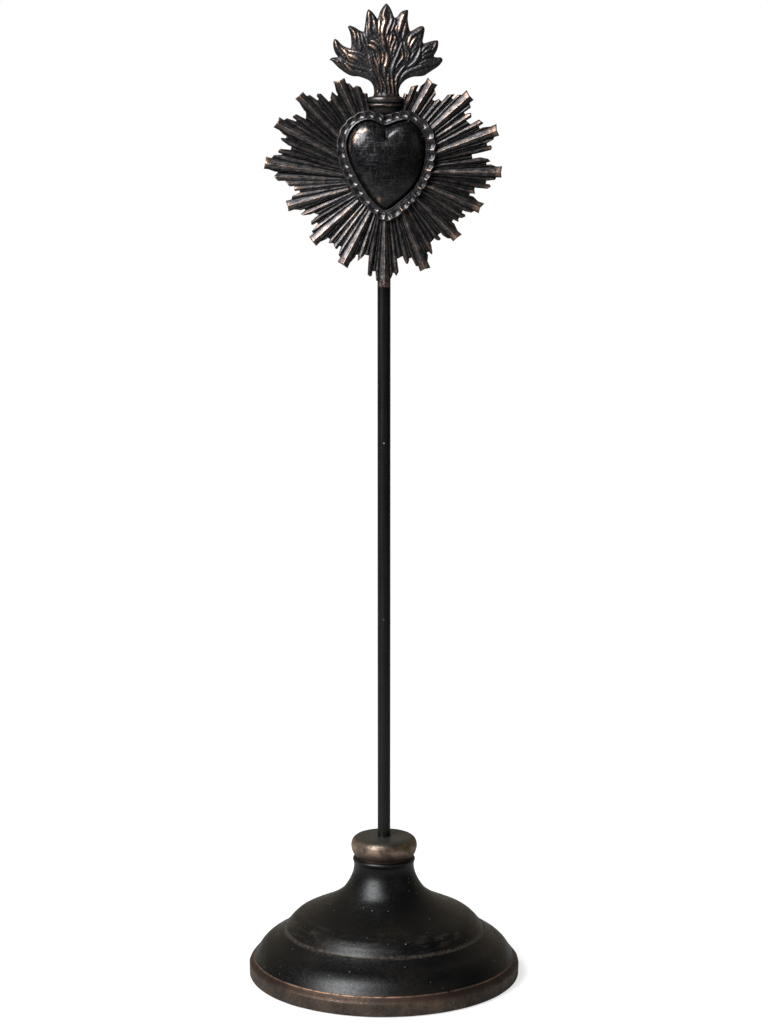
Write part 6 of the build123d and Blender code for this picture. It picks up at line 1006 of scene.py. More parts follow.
# ---------------------------------------------------------------- materials
class Finish:
    """A small node-tree writer."""

    def __init__(self, name):
        self.mat = bpy.data.materials.new(name)
        self.mat.use_nodes = True
        self.t = self.mat.node_tree
        self.t.nodes.clear()
        self.out = self.t.nodes.new("ShaderNodeOutputMaterial")
        self.shader = self.t.nodes.new("ShaderNodeBsdfPrincipled")
        self.t.links.new(self.shader.outputs[0], self.out.inputs[0])
        self.coords = self.t.nodes.new("ShaderNodeTexCoord").outputs["Object"]

    def put(self, kind, **values):
        node = self.t.nodes.new(kind)
        for key, value in values.items():
            setattr(node, key, value)
        return node

    def feed(self, socket, value):
        if isinstance(value, bpy.types.NodeSocket):
            self.t.links.new(value, socket)
        elif value is not None:
            socket.default_value = value

    def math(self, op, a, b=None, c=None, clamp=False):
        node = self.put("ShaderNodeMath", operation=op, use_clamp=clamp)
        for i, v in enumerate((a, b, c)):
            if v is not None:
                self.feed(node.inputs[i], v)
        return node.outputs[0]

    def scaled(self, x=1.0, y=1.0, z=1.0, coords=None):
        node = self.put("ShaderNodeMapping")
        self.feed(node.inputs["Vector"], coords or self.coords)
        node.inputs["Scale"].default_value = (x, y, z)
        return node.outputs[0]

    def noise(self, scale, detail=4.0, rough=0.55, coords=None, distort=0.0):
        node = self.put("ShaderNodeTexNoise")
        self.feed(node.inputs["Vector"], coords or self.coords)
        node.inputs["Scale"].default_value = scale
        node.inputs["Detail"].default_value = detail
        node.inputs["Roughness"].default_value = rough
        node.inputs["Distortion"].default_value = distort
        return node.outputs["Fac"]

    def cells(self, scale, feature="F1", coords=None, randomness=1.0):
        node = self.put("ShaderNodeTexVoronoi", feature=feature)
        self.feed(node.inputs["Vector"], coords or self.coords)
        node.inputs["Scale"].default_value = scale
        node.inputs["Randomness"].default_value = randomness
        return node

    def range(self, value, a, b, c=0.0, d=1.0, soft=True):
        node = self.put("ShaderNodeMapRange", interpolation_type="SMOOTHSTEP" if soft else "LINEAR")
        self.feed(node.inputs["Value"], value)
        for key, v in zip(("From Min", "From Max", "To Min", "To Max"), (a, b, c, d)):
            node.inputs[key].default_value = v
        return node.outputs[0]

    def ramp(self, value, stops):
        node = self.put("ShaderNodeValToRGB")
        self.feed(node.inputs[0], value)
        e = node.color_ramp.elements
        while len(e) > 1:
            e.remove(e[-1])
        e[0].position, e[0].color = stops[0][0], (*stops[0][1], 1)
        for pos, colour in stops[1:]:
            made = e.new(pos)
            made.color = (*colour, 1)
        return node.outputs[0]

    def mix(self, share, a, b, mode="MIX"):
        node = self.put("ShaderNodeMix", data_type="RGBA", blend_type=mode)
        self.feed(node.inputs[0], share)
        for socket, v in ((node.inputs[6], a), (node.inputs[7], b)):
            self.feed(socket, (*v, 1) if isinstance(v, tuple) and len(v) == 3 else v)
        return node.outputs[2]

    def field(self, name):
        return self.put("ShaderNodeAttribute", attribute_name=name).outputs["Fac"]

    def axis(self, which, coords=None):
        node = self.put("ShaderNodeSeparateXYZ")
        self.feed(node.inputs[0], coords or self.coords)
        return node.outputs["XYZ".index(which)]

    def bump(self, height, strength, depth):
        node = self.put("ShaderNodeBump")
        self.feed(node.inputs["Height"], height)
        node.inputs["Strength"].default_value = strength
        node.inputs["Distance"].default_value = depth
        self.t.links.new(node.outputs[0], self.shader.inputs["Normal"])

    def set(self, **values):
        names = {"base": "Base Color", "metal": "Metallic", "rough": "Roughness", "ior": "IOR", "coat": "Coat Weight",
                 "coat_rough": "Coat Roughness", "specular": "Specular IOR Level", "sheen": "Sheen Weight", "sheen_rough": "Sheen Roughness",
                 "aniso": "Anisotropic"}
        for key, value in values.items():
            if isinstance(value, tuple) and len(value) == 3:
                value = (*value, 1)
            self.feed(self.shader.inputs[names[key]], value)
        return self.mat


def antique_cast(name, woven=False, gloss=(0.30, 0.42), k=1.0, rays=False):
    """Cast metal with a blue-black patina, rubbed through to brown and copper on its crests, with copper painted where
    the highlights fall and painted shade in its hollows.
    """
    f = Finish(name)
    broad = f.noise(240.0, 5.0, 0.6)
    fine = f.noise(1500.0, 5.0, 0.6)
    grain = f.noise(3300.0, 2.0, 0.5)
    wear_and_highlight, patina_and_shade = f.field("wear_and_highlight"), f.field("patina_and_shade")
    patina = f.ramp(broad, [(0.30, (0.026 * k, 0.026 * k, 0.029 * k)), (0.50, (0.049 * k, 0.047 * k, 0.050 * k)), (0.62, (0.065 * k, 0.060 * k, 0.058 * k)),
                            (0.74, (0.060 * k, 0.046 * k, 0.037 * k))])
    speck = f.ramp(fine, [(0.34, (0.45, 0.45, 0.46)), (0.54, (1.0, 1.0, 1.0)), (0.70, (1.45, 1.40, 1.34))])
    patina = f.mix(1.0, patina, speck, "MULTIPLY")
    if rays:
        # file marks that run out along the rays
        dx, dz = f.axis("X"), f.math("SUBTRACT", f.axis("Z"), 0.318)
        polar = f.put("ShaderNodeCombineXYZ")
        f.feed(polar.inputs[0], f.math("MULTIPLY", f.math("ARCTAN2", dx, dz), 78.0))
        f.feed(polar.inputs[1], f.math("MULTIPLY", f.math("SQRT", f.math("ADD", f.math("MULTIPLY", dx, dx), f.math("MULTIPLY", dz, dz))), 330.0))
        marks = f.noise(1.0, 4.0, 0.62, polar.outputs[0])
        # none on the flat back, which is left as cast
        front = f.range(f.axis("Y"), (BACK_Y - 0.7) / 1000, (BACK_Y - 0.3) / 1000, 1.0, 0.0)
        marks = f.math("ADD", 0.5, f.math("MULTIPLY", f.math("SUBTRACT", marks, 0.5), front))
        patina = f.mix(1.0, patina, f.ramp(marks, [(0.36, (0.30, 0.29, 0.29)), (0.50, (1.0, 0.98, 0.95)), (0.65, (2.1, 2.0, 1.9))]), "MULTIPLY")
        # painted light and shade: darker up on the right, lighter low on the left
        slope = f.range(f.math("ADD", dx, dz), -0.040, 0.044, 1.22, 0.72)
        light_tilt = f.put("ShaderNodeCombineColor")
        for i in range(3):
            f.feed(light_tilt.inputs[i], slope)
        patina = f.mix(1.0, patina, light_tilt.outputs[0], "MULTIPLY")
    # rub and painted highlight: brown first, then copper, broken up by the grain
    broken = f.math("ADD", f.math("MULTIPLY", f.math("SUBTRACT", fine, 0.5), 0.8), f.math("MULTIPLY", f.math("SUBTRACT", broad, 0.5), 1.3))
    rub_and_highlight = f.math("ADD", wear_and_highlight, f.math("MULTIPLY", broken, f.range(wear_and_highlight, 0.02, 0.30)), clamp=True)
    copper = f.ramp(rub_and_highlight, [(0.16, (0.085, 0.066, 0.056)), (0.38, (0.17, 0.110, 0.080)), (0.60, (0.36, 0.245, 0.185)), (0.90, (0.62, 0.48, 0.40))])
    colour = f.mix(f.range(rub_and_highlight, 0.16, 0.55, 0.0, 0.92), patina, copper)
    # painted shade, together with the dark patina, darkens the colour in the hollows
    dark = f.range(patina_and_shade, 0.0, 1.0, 1.0, 0.10 if rays else 0.16, soft=False)
    shade = f.put("ShaderNodeCombineColor")
    for i in range(3):
        f.feed(shade.inputs[i], dark)
    colour = f.mix(1.0, colour, shade.outputs[0], "MULTIPLY")
    rough = f.math("ADD", f.range(fine, 0.32, 0.68, gloss[0], gloss[1]), f.math("MULTIPLY", patina_and_shade, 0.20))
    height = f.math("ADD", f.math("MULTIPLY", fine, 0.5), f.math("MULTIPLY", grain, 0.5))
    if rays:
        height = f.math("ADD", f.math("MULTIPLY", height, 0.6), f.math("MULTIPLY", marks, 0.7))
    if woven:
        # fine crossed scratches, like cloth pressed in the paint
        a = f.noise(1.0, 2.0, 0.6, f.scaled(240.0, 240.0, 1700.0))
        b = f.noise(1.0, 2.0, 0.6, f.scaled(1700.0, 240.0, 240.0))
        weave = f.math("MAXIMUM", f.range(a, 0.50, 0.66), f.range(b, 0.50, 0.66))
        # the scratches fade out to the right and to the point
        shown = f.math("MULTIPLY", f.range(f.axis("X"), -0.002, 0.012, 0.52, 0.12), f.range(f.axis("Z"), 0.303, 0.315, 0.4, 1.0))
        # and under the thickest patina and painted shade
        shown = f.math("MULTIPLY", shown, f.range(patina_and_shade, 0.35, 0.90, 1.0, 0.15))
        colour = f.mix(f.math("MULTIPLY", weave, shown), colour, (0.092, 0.091, 0.100))
        rough = f.math("ADD", rough, f.math("MULTIPLY", weave, 0.05))
        height = f.math("ADD", f.math("MULTIPLY", height, 0.5), f.math("MULTIPLY", weave, -0.35))
    metal = f.range(rub_and_highlight, 0.1, 0.6, 0.84, 0.97, soft=False)
    if woven:
        # no paint sheen where the patina and painted shade are thickest
        metal = f.math("MAXIMUM", metal, f.range(patina_and_shade, 0.45, 0.92, 0.84, 1.0))
    f.bump(height, 0.16 if woven else 0.60 if rays else 0.22, 0.00013)
    return f.set(base=colour, metal=metal, rough=f.math("ADD", rough, 0.0, clamp=True), specular=0.5)


def bell_black():
    """Satin black paint over turned wood, a little rubbed on its edges and dusty."""
    f = Finish("satin_black_paint")
    broad = f.noise(55.0, 5.0, 0.6)
    fine = f.noise(900.0, 5.0, 0.6)
    z = f.axis("Z")
    base = f.ramp(broad, [(0.35, (0.0012, 0.0012, 0.0016)), (0.55, (0.0022, 0.0021, 0.0022)), (0.72, (0.0066, 0.0052, 0.0038))])
    # worn lines at the two turned edges, and a faint brown haze above the step
    step = f.math("SUBTRACT", 1.0, f.math("DIVIDE", f.math("ABSOLUTE", f.math("SUBTRACT", z, 0.0191)), 0.00075), clamp=True)
    haze = f.math("SUBTRACT", 1.0, f.math("DIVIDE", f.math("ABSOLUTE", f.math("SUBTRACT", z, 0.0225)), 0.0045), clamp=True)
    lipz = f.math("SUBTRACT", 1.0, f.math("DIVIDE", f.math("ABSOLUTE", f.math("SUBTRACT", z, 0.0471)), 0.0005), clamp=True)
    lighter_marks = f.math("ADD", f.math("MULTIPLY", step, f.range(fine, 0.35, 0.6, 0.1, 0.55)), f.math("MULTIPLY", lipz, 0.10))
    patch = f.range(f.noise(1.0, 5.0, 0.65, f.scaled(120.0, 120.0, 700.0)), 0.46, 0.74)
    lighter_marks = f.math("ADD", lighter_marks, f.math("MULTIPLY", f.math("MULTIPLY", haze, patch), 0.30), clamp=True)
    colour = f.mix(lighter_marks, base, (0.085, 0.070, 0.056))
    # dust: few tiny light specks
    dots = f.cells(230.0)
    rare = f.range(f.axis("X", dots.outputs["Color"]), 0.80, 0.86, soft=False)
    dust = f.math("MULTIPLY", f.range(dots.outputs["Distance"], 0.03, 0.07, 0.55, 0.0), rare)
    mist = f.cells(620.0)
    rare2 = f.range(f.axis("X", mist.outputs["Color"]), 0.84, 0.95, soft=False)
    dust2 = f.math("MULTIPLY", f.range(mist.outputs["Distance"], 0.08, 0.17, 0.26, 0.0), rare2)
    dust = f.math("MAXIMUM", dust, dust2)
    colour = f.mix(dust, colour, (0.42, 0.41, 0.39))
    rough = f.math("ADD", f.range(fine, 0.3, 0.7, 0.295, 0.425), f.math("MULTIPLY", lighter_marks, 0.14))
    rough = f.math("ADD", rough, f.math("MULTIPLY", f.math("SUBTRACT", broad, 0.5), 0.16), clamp=True)
    turned_lines = f.noise(1.0, 3.0, 0.5, f.scaled(60.0, 60.0, 1400.0))
    height = f.math("ADD", f.math("MULTIPLY", fine, 0.5), f.math("ADD", f.math("MULTIPLY", turned_lines, 0.3), f.math("MULTIPLY", dust, 0.5)))
    f.bump(height, 0.55, 0.00016)
    return f.set(base=colour, metal=0.0, rough=rough, specular=0.275)


def bronze_paint(name, low_z, high_z, line=0.0):
    """Mottled antique bronze paint: dark brown stippled over metallic copper-brown."""
    f = Finish(name)
    broad = f.noise(110.0, 6.0, 0.65)
    stipple = f.noise(1300.0, 6.0, 0.7)
    streak = f.noise(1.0, 4.0, 0.6, f.scaled(500.0, 500.0, 1500.0))
    z = f.axis("Z")
    base = f.ramp(f.math("ADD", f.math("MULTIPLY", stipple, 0.62), f.math("MULTIPLY", broad, 0.42)),
                  [(0.42, (0.020, 0.017, 0.015)), (0.52, (0.062, 0.045, 0.034)), (0.62, (0.120, 0.084, 0.060)), (0.74, (0.200, 0.145, 0.100))])
    if line:
        # bright line on the top edge: rubbed bronze, and a painted highlight along the edge
        edge = f.math("SUBTRACT", 1.0, f.math("DIVIDE", f.math("ABSOLUTE", f.math("SUBTRACT", z, high_z - 0.00018)), 0.00030), clamp=True)
        gold = f.mix(f.range(streak, 0.36, 0.56), (0.10, 0.065, 0.045), (0.56, 0.33, 0.20))
        # most of it on the left, as a painted highlight on the side where the light falls
        x = f.math("ADD", f.axis("X"), f.math("MULTIPLY", f.math("SUBTRACT", broad, 0.5), 0.03))
        lit_side = f.math("MULTIPLY", f.range(x, -0.043, -0.026, 0.24, 1.0), f.range(x, 0.000, 0.018, 1.0, 0.20))
        base = f.mix(f.math("MULTIPLY", f.math("MULTIPLY", edge, line), lit_side), base, gold)
        # painted shade: the shoulder is darker, so no light shows on it
        shoulder_shade = f.range(z, high_z - 0.0030, high_z - 0.0012, 1.0, 0.40)
        top_tone = f.put("ShaderNodeCombineColor")
        for i, share in enumerate((1.18, 0.92, 0.80)):
            f.feed(top_tone.inputs[i], f.math("MULTIPLY", shoulder_shade, f.range(shoulder_shade, 0.4, 1.0, share, 1.0)))
        base = f.mix(1.0, base, f.mix(edge, top_tone.outputs[0], (1.0, 1.0, 1.0)), "MULTIPLY")
        # a small pit in the wood on the right of the front
        pit = f.put("ShaderNodeVectorMath", operation="DISTANCE")
        f.feed(pit.inputs[0], f.coords)
        pit.inputs[1].default_value = (0.0246, -0.0452, 0.0078)
        base = f.mix(f.range(pit.outputs["Value"], 0.00035, 0.00060, 1.0, 0.0), base, (0.004, 0.004, 0.004))
    else:
        # the flat top is grey-green and dull, and the band round the middle is rubbed
        band = f.math("SUBTRACT", 1.0, f.math("DIVIDE", f.math("ABSOLUTE", f.math("SUBTRACT", z, 0.0528)), 0.0030), clamp=True)
        base = f.mix(f.math("MULTIPLY", band, f.range(broad, 0.42, 0.60, 0.1, 0.65)), base, (0.42, 0.30, 0.215))
        # ochre patches on the right
        patch = f.math("MULTIPLY", f.range(f.noise(420.0, 4.0, 0.6), 0.46, 0.56), f.range(f.axis("X"), 0.003, 0.009, 0.0, 0.8))
        base = f.mix(patch, base, (0.115, 0.078, 0.036))
        base = f.mix(f.range(z, high_z - 0.0009, high_z - 0.0002), base, f.ramp(stipple, [(0.35, (0.030, 0.030, 0.027)), (0.65, (0.082, 0.080, 0.070))]))
    rough = f.range(stipple, 0.3, 0.7, 0.62 if line else 0.50, 0.48 if line else 0.36)
    metal = f.range(stipple, 0.35, 0.62, 0.45, 0.82)
    height = f.math("ADD", f.math("MULTIPLY", stipple, 0.6), f.math("MULTIPLY", streak, 0.4))
    f.bump(height, 0.25, 0.00018)
    return f.set(base=base, metal=metal, rough=rough)


def rod_black():
    """Satin black paint on drawn bar, with fine lengthwise marks and a few specks."""
    f = Finish("rod_paint")
    along = f.noise(1.0, 4.0, 0.6, f.scaled(900.0, 900.0, 40.0))
    fine = f.noise(1400.0, 4.0, 0.6)
    base = f.ramp(f.noise(90.0, 4.0), [(0.35, (0.0020, 0.0020, 0.0025)), (0.65, (0.0042, 0.0041, 0.0046))])
    dots = f.cells(420.0)
    rare = f.range(f.axis("X", dots.outputs["Color"]), 0.93, 0.96, soft=False)
    dust = f.math("MULTIPLY", f.range(dots.outputs["Distance"], 0.08, 0.16, 0.7, 0.0), rare)
    colour = f.mix(dust, base, (0.33, 0.32, 0.31))
    rough = f.range(along, 0.3, 0.7, 0.30, 0.42)
    f.bump(f.math("ADD", f.math("MULTIPLY", along, 0.6), f.math("MULTIPLY", fine, 0.4)), 0.12, 0.0001)
    return f.set(base=colour, metal=0.0, rough=rough, specular=0.35)


def bracket_paint():
    f = Finish("bracket_paint")
    fine = f.noise(1600.0, 5.0, 0.65)
    chips = f.range(f.noise(420.0, 6.0, 0.75), 0.66, 0.70)
    base = f.ramp(f.noise(120.0, 4.0), [(0.35, (0.014, 0.014, 0.015)), (0.65, (0.024, 0.023, 0.023))])
    colour = f.mix(f.math("MULTIPLY", chips, 0.7), base, (0.16, 0.14, 0.12))
    f.bump(fine, 0.22, 0.00012)
    return f.set(base=colour, metal=0.1, rough=f.range(fine, 0.3, 0.7, 0.38, 0.52), specular=0.5)


def steel(name, rough=0.3, tone=0.42):
    f = Finish(name)
    brushed = f.noise(1.0, 5.0, 0.6, f.scaled(180.0, 2600.0, 2600.0))
    stain = f.noise(160.0, 5.0, 0.6)
    spot = f.range(f.noise(900.0, 5.0, 0.7), 0.64, 0.70)
    base = f.ramp(stain, [(0.32, (tone * 0.62, tone * 0.60, tone * 0.57)), (0.55, (tone, tone * 0.985, tone * 0.96)), (0.75, (tone * 1.25, tone * 1.24, tone * 1.22))])
    base = f.mix(f.math("MULTIPLY", spot, 0.5), base, (0.12, 0.085, 0.06))
    f.bump(brushed, 0.16, 0.00006)
    return f.set(base=base, metal=1.0, rough=f.range(brushed, 0.3, 0.7, rough - 0.06, rough + 0.12), aniso=0.35)


def pad_rubber():
    f = Finish("jaw_rubber")
    fine = f.noise(2600.0, 4.0, 0.6)
    base = f.ramp(f.noise(300.0, 4.0), [(0.35, (0.016, 0.016, 0.016)), (0.65, (0.032, 0.031, 0.030))])
    f.bump(fine, 0.3, 0.00008)
    return f.set(base=base, rough=f.range(fine, 0.3, 0.7, 0.72, 0.88), specular=0.35)


def felt_cloth():
    f = Finish("pressed_felt")
    tangle = f.noise(2100.0, 8.0, 0.75, distort=1.4)
    hairs = f.noise(1.0, 5.0, 0.7, f.scaled(5200.0, 900.0, 2000.0), distort=2.0)
    base = f.ramp(tangle, [(0.30, (0.012, 0.012, 0.013)), (0.55, (0.030, 0.030, 0.032)), (0.75, (0.060, 0.060, 0.064))])
    f.bump(f.math("ADD", f.math("MULTIPLY", tangle, 0.6), f.math("MULTIPLY", hairs, 0.4)), 0.7, 0.0003)
    return f.set(base=base, rough=0.95, specular=0.15, sheen=0.5, sheen_rough=0.5)


cast = antique_cast("antique_cast", gloss=(0.30, 0.42), k=1.5)
cast_border = antique_cast("antique_cast_border", gloss=(0.26, 0.38), k=1.9)
cast_rays = antique_cast("antique_cast_rays", gloss=(0.31, 0.44), k=1.6, rays=True)
cast_heart = antique_cast("antique_cast_woven", woven=True, gloss=(0.19, 0.26), k=0.55)
black = bell_black()
rim_bronze = bronze_paint("bronze_rim_paint", 0.0003, 0.0080, line=0.9)
bead_bronze = bronze_paint("bronze_bead_paint", 0.048, 0.05625)
rod_paint = rod_black()
bracket_black = bracket_paint()
bright_steel = steel("lever_steel", 0.30, 0.44)
dark_steel = steel("fastener_steel", 0.36, 0.34)
rubber = pad_rubber()
felt = felt_cloth()

# ---------------------------------------------------------------- ornament
verts, faces, fields = sunburst_mesh()
piece("ray_plate", verts, faces, cast_rays, ["sunburst"], fields, sharp=34)

verts, faces, fields = border_mesh()
piece("scalloped_border", verts, faces, cast_border, ["heart_border"], fields, sharp=50)

verts, faces, fields = heart_mesh()
piece("domed_heart", verts, faces, cast_heart, ["heart_boss"], fields, sharp=60)

verts, faces, fields = flame_mesh()
v2, f2, g2 = ring_mesh()
shift = len(verts)
verts = np.vstack([verts, v2])
faces = list(faces) + [tuple(i + shift for i in f) for f in f2]
fields = {k: np.concatenate([fields[k], g2[k]]) for k in fields}
piece("flame_and_ring", verts, faces, cast, ["flame_finial"], fields, sharp=52)

# ---------------------------------------------------------------- base
bell_outer = list(curve([(51.2, 8.0), (50.54, 9.0), (49.94, 10.0), (48.53, 12.0), (46.41, 14.0), (43.32, 16.0), (40.9, 17.8), (39.85, 18.7)], 0.5))[:-1]
bell_outer += [(39.85, 18.7), (39.55, 18.83), (39.2, 18.95), (39.08, 19.15), (39.0, 19.45)]
bell_outer += list(curve([(39.0, 19.45), (38.5, 20.1), (37.75, 21.0), (36.9, 22.0), (34.7, 24.0), (30.75, 26.0), (26.3, 28.0), (22.4, 30.0), (19.2, 32.0),
                          (16.7, 34.0), (15.05, 36.0), (13.8, 38.0), (12.85, 40.0), (12.15, 42.0), (11.82, 44.0), (11.85, 45.4), (12.1, 46.4)], 0.5))[1:-1]
bell_outer += list(curve([(12.1, 46.4), (12.26, 46.85), (12.22, 47.3), (12.0, 47.65), (11.5, 48.0)], 0.12))
bell = bell_outer + [(7.0, 48.0), (7.0, 52.0), (2.6, 52.0), (2.6, 20.0), (2.2, 20.0), (2.2, 8.0)] + line_points([(2.2, 8.0), (51.2, 8.0)], 12.0)[1:-1]
verts, faces = turned(bell, 256, 0.045, 16.0, 61)
piece("bell", verts, faces, black, ["base_dome"], sharp=32)

rim = list(curve([(51.3, 8.0), (51.62, 7.78), (51.95, 7.40), (52.15, 7.05), (52.62, 6.52), (53.05, 6.0), (53.28, 5.6), (53.35, 5.2)], 0.2))
rim += line_points([(53.35, 5.2), (53.35, 1.1)], 0.6)[1:] + [(53.2, 0.75), (52.9, 0.5), (52.4, 0.3), (48.3, 0.3), (48.3, 1.0), (8.0, 1.0), (8.0, 6.2), (2.2, 6.2), (2.2, 8.0)]
rim += line_points([(2.2, 8.0), (51.3, 8.0)], 12.0)[1:-1]
verts, faces = turned(rim, 288, 0.04, 7.0, 62)
piece("rim_disc", verts, faces, rim_bronze, ["base_plinth"], sharp=40)

bead = list(curve([(11.2, 48.0), (11.3, 48.45), (11.95, 49.2), (12.5, 50.4), (12.9, 51.8), (12.95, 52.8), (12.75, 54.0), (12.2, 55.1), (11.3, 55.9), (10.0, 56.25)], 0.22))
bead += line_points([(10.0, 56.25), (2.6, 56.25)], 0.8)[1:] + [(2.6, 52.1), (7.05, 52.1), (7.05, 48.0)]
verts, faces = turned(bead, 192, 0.05, 4.5, 63)
top = verts[:, 2] > 56.2
verts[top, 2] += 0.05 * ripple(verts[top], 3.0, 64)
piece("bead", verts, faces, bead_bronze, ["bead_collar"], sharp=45)

# ---------------------------------------------------------------- felt under the base
ring_count, around = 26, 160
rr = np.concatenate([np.linspace(0.0, 47.4, ring_count)[1:], [47.8, 48.0]])
turn = 2 * np.pi * np.arange(around) / around
fringe = 0.12 * ripple(np.column_stack([np.cos(turn), np.sin(turn)]) * 48, 2.0, 71)
grid = []
for side in (0, 1):
    for r in rr:
        edge = smooth(r, 47.0, 48.0)
        rad = r - 0.12 * edge + fringe * edge * 0.8
        p = np.column_stack([rad * np.cos(turn), rad * np.sin(turn), np.zeros(around)])
        soft = 0.035 * (ripple(p[:, :2], 3.2, 72) + 1.2)
        if side == 0:
            p[:, 2] = np.maximum(0.0, soft * 0.6) + 0.22 * float(smooth(r, 47.3, 48.0))
        else:
            p[:, 2] = 0.97 - soft * 0.4 - 0.20 * float(smooth(r, 47.3, 48.0))
        grid.append(p)
grid = np.vstack(grid + [np.array([[0, 0, 0.02], [0, 0, 0.95]])])
faces = []
m = len(rr)
for side in (0, 1):
    o = side * m * around
    for k in range(m - 1):
        for i in range(around):
            j = (i + 1) % around
            q = (o + k * around + i, o + k * around + j, o + (k + 1) * around + j, o + (k + 1) * around + i)
            faces.append(q if side else q[::-1])
    c = 2 * m * around + side
    faces += [((o + i, c, o + (i + 1) % around) if side else (o + (i + 1) % around, c, o + i)) for i in range(around)]
for i in range(around):
    j = (i + 1) % around
    faces.append(((m - 1) * around + i, (m - 1) * around + j, (2 * m - 1) * around + j, (2 * m - 1) * around + i))
felt_piece = piece("felt", grid, faces, felt, ["felt_pad"], sharp=60)

# ---------------------------------------------------------------- ribbed rubber pad on the jaw
half_w, half_h, depth = 6.5, 2.1, 0.8
nx, nz = 53, 43
xs, zs = np.linspace(-1, 1, nx), np.linspace(-1, 1, nz)
front_side, back_side = [], []
for zi in zs:
    for xi in xs:
        # square grid pressed into a rounded rectangle
        x, z = xi * half_w, zi * half_h
        r = 0.8
        ax, az = abs(x) - (half_w - r), abs(z) - (half_h - r)
        if ax > 0 and az > 0:
            d = math.hypot(ax, az)
            lim = max(ax, az)
            if d > 1e-9:
                x = math.copysign(half_w - r + ax / d * lim, x)
                z = math.copysign(half_h - r + az / d * lim, z)
        edge = max(abs(xi), abs(zi))
        crown = 0.16 * float(smooth(edge, 0.86, 1.0))
        rib = 0.16 * (0.5 - 0.5 * math.cos(2 * math.pi * (z / 0.84 + 0.5))) * float(1 - smooth(edge, 0.84, 0.93))
        front_side.append((x, -9.7 + crown + rib, 290.8 + z))
        back_side.append((x, -8.9, 290.8 + z))
grid = np.array(front_side + back_side)
faces, k = [], nx * nz
for a in range(nz - 1):
    for b in range(nx - 1):
        q = (a * nx + b, a * nx + b + 1, (a + 1) * nx + b + 1, (a + 1) * nx + b)
        faces.append(q)
        faces.append(tuple(k + i for i in reversed(q)))
loop = [b for b in range(nx)] + [a * nx + nx - 1 for a in range(1, nz)] + [(nz - 1) * nx + b for b in range(nx - 2, -1, -1)] + [a * nx for a in range(nz - 2, 0, -1)]
for a, b in zip(loop, loop[1:] + loop[:1]):
    faces.append((b, a, k + a, k + b))
piece("grip_pad", grid, faces, rubber, ["jaw_pad"], sharp=50, body="clip")

# ---------------------------------------------------------------- CAD pieces that keep their shape
for node, material in (("rod", rod_paint), ("rod_bracket", bracket_black), ("clip_lever", bright_steel), ("clip_pin", dark_steel),
                       ("pin_retainer", dark_steel), ("bracket_screws", dark_steel), ("flame_screws", dark_steel),
                       ("rod_rivets", dark_steel), ("rod_washer", dark_steel), ("rod_nut", dark_steel)):
    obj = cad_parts[node]
    if not obj.data.materials:
        obj.data.materials.append(material)
    for s in obj.material_slots:
        s.material = material

# ---------------------------------------------------------------- torsion spring on the pivot pin
def wire_mesh(path, radius, sides=12):
    """Round wire along a path, with domed ends."""
    path = np.asarray(path, float)
    ahead = np.gradient(path, axis=0)
    ahead /= np.linalg.norm(ahead, axis=1)[:, None]
    across = np.cross(ahead, (1.0, 0, 0))
    across /= np.linalg.norm(across, axis=1)[:, None]
    over = np.cross(ahead, across)
    turn = 2 * np.pi * np.arange(sides) / sides
    rings = []
    for tip, sign in ((0, -1), (-1, 1)):
        dome = []
        for a in (0.96, 0.75, 0.45):
            at = path[tip] + sign * radius * math.sin(a * math.pi / 2) * ahead[tip]
            dome.append(at + radius * math.cos(a * math.pi / 2) * (np.cos(turn)[:, None] * across[tip] + np.sin(turn)[:, None] * over[tip]))
        rings.append(dome)
    tube = [p + radius * (np.cos(turn)[:, None] * u + np.sin(turn)[:, None] * v) for p, u, v in zip(path, across, over)]
    tube = rings[0] + tube + rings[1][::-1]
    faces = []
    for k in range(len(tube) - 1):
        for i in range(sides):
            j = (i + 1) % sides
            faces.append((k * sides + i, k * sides + j, (k + 1) * sides + j, (k + 1) * sides + i))
    last = (len(tube) - 1) * sides
    faces.append(tuple(range(sides - 1, -1, -1)))
    faces.append(tuple(last + i for i in range(sides)))
    return np.vstack(tube), faces


coil_half, coil_radius, coil_turns = 2.6, 1.9, 8.5
hinge_y, hinge_z = -4.8, 312.0
steps = np.linspace(0, 1, int(coil_turns * 28) + 1)
angle = 2 * math.pi * coil_turns * steps
coil = np.column_stack([-coil_half + 2 * coil_half * steps, hinge_y + coil_radius * np.cos(angle), hinge_z + coil_radius * np.sin(angle)])
down = np.linspace(0, 1, 25)[1:, None]
leg_web = coil[0] + down * (np.array([-coil_half, -2.53, 303.2]) - coil[0])
leg_arm = coil[-1] + down * (np.array([coil_half, -7.14, 303.2]) - coil[-1])
grid, faces = wire_mesh(np.vstack([leg_web[::-1], coil, leg_arm]), 0.3)
spring_piece = piece("torsion_spring", grid, faces, dark_steel, ["clip_spring"], sharp=60, body=None)
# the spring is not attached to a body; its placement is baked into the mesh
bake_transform(spring_piece)

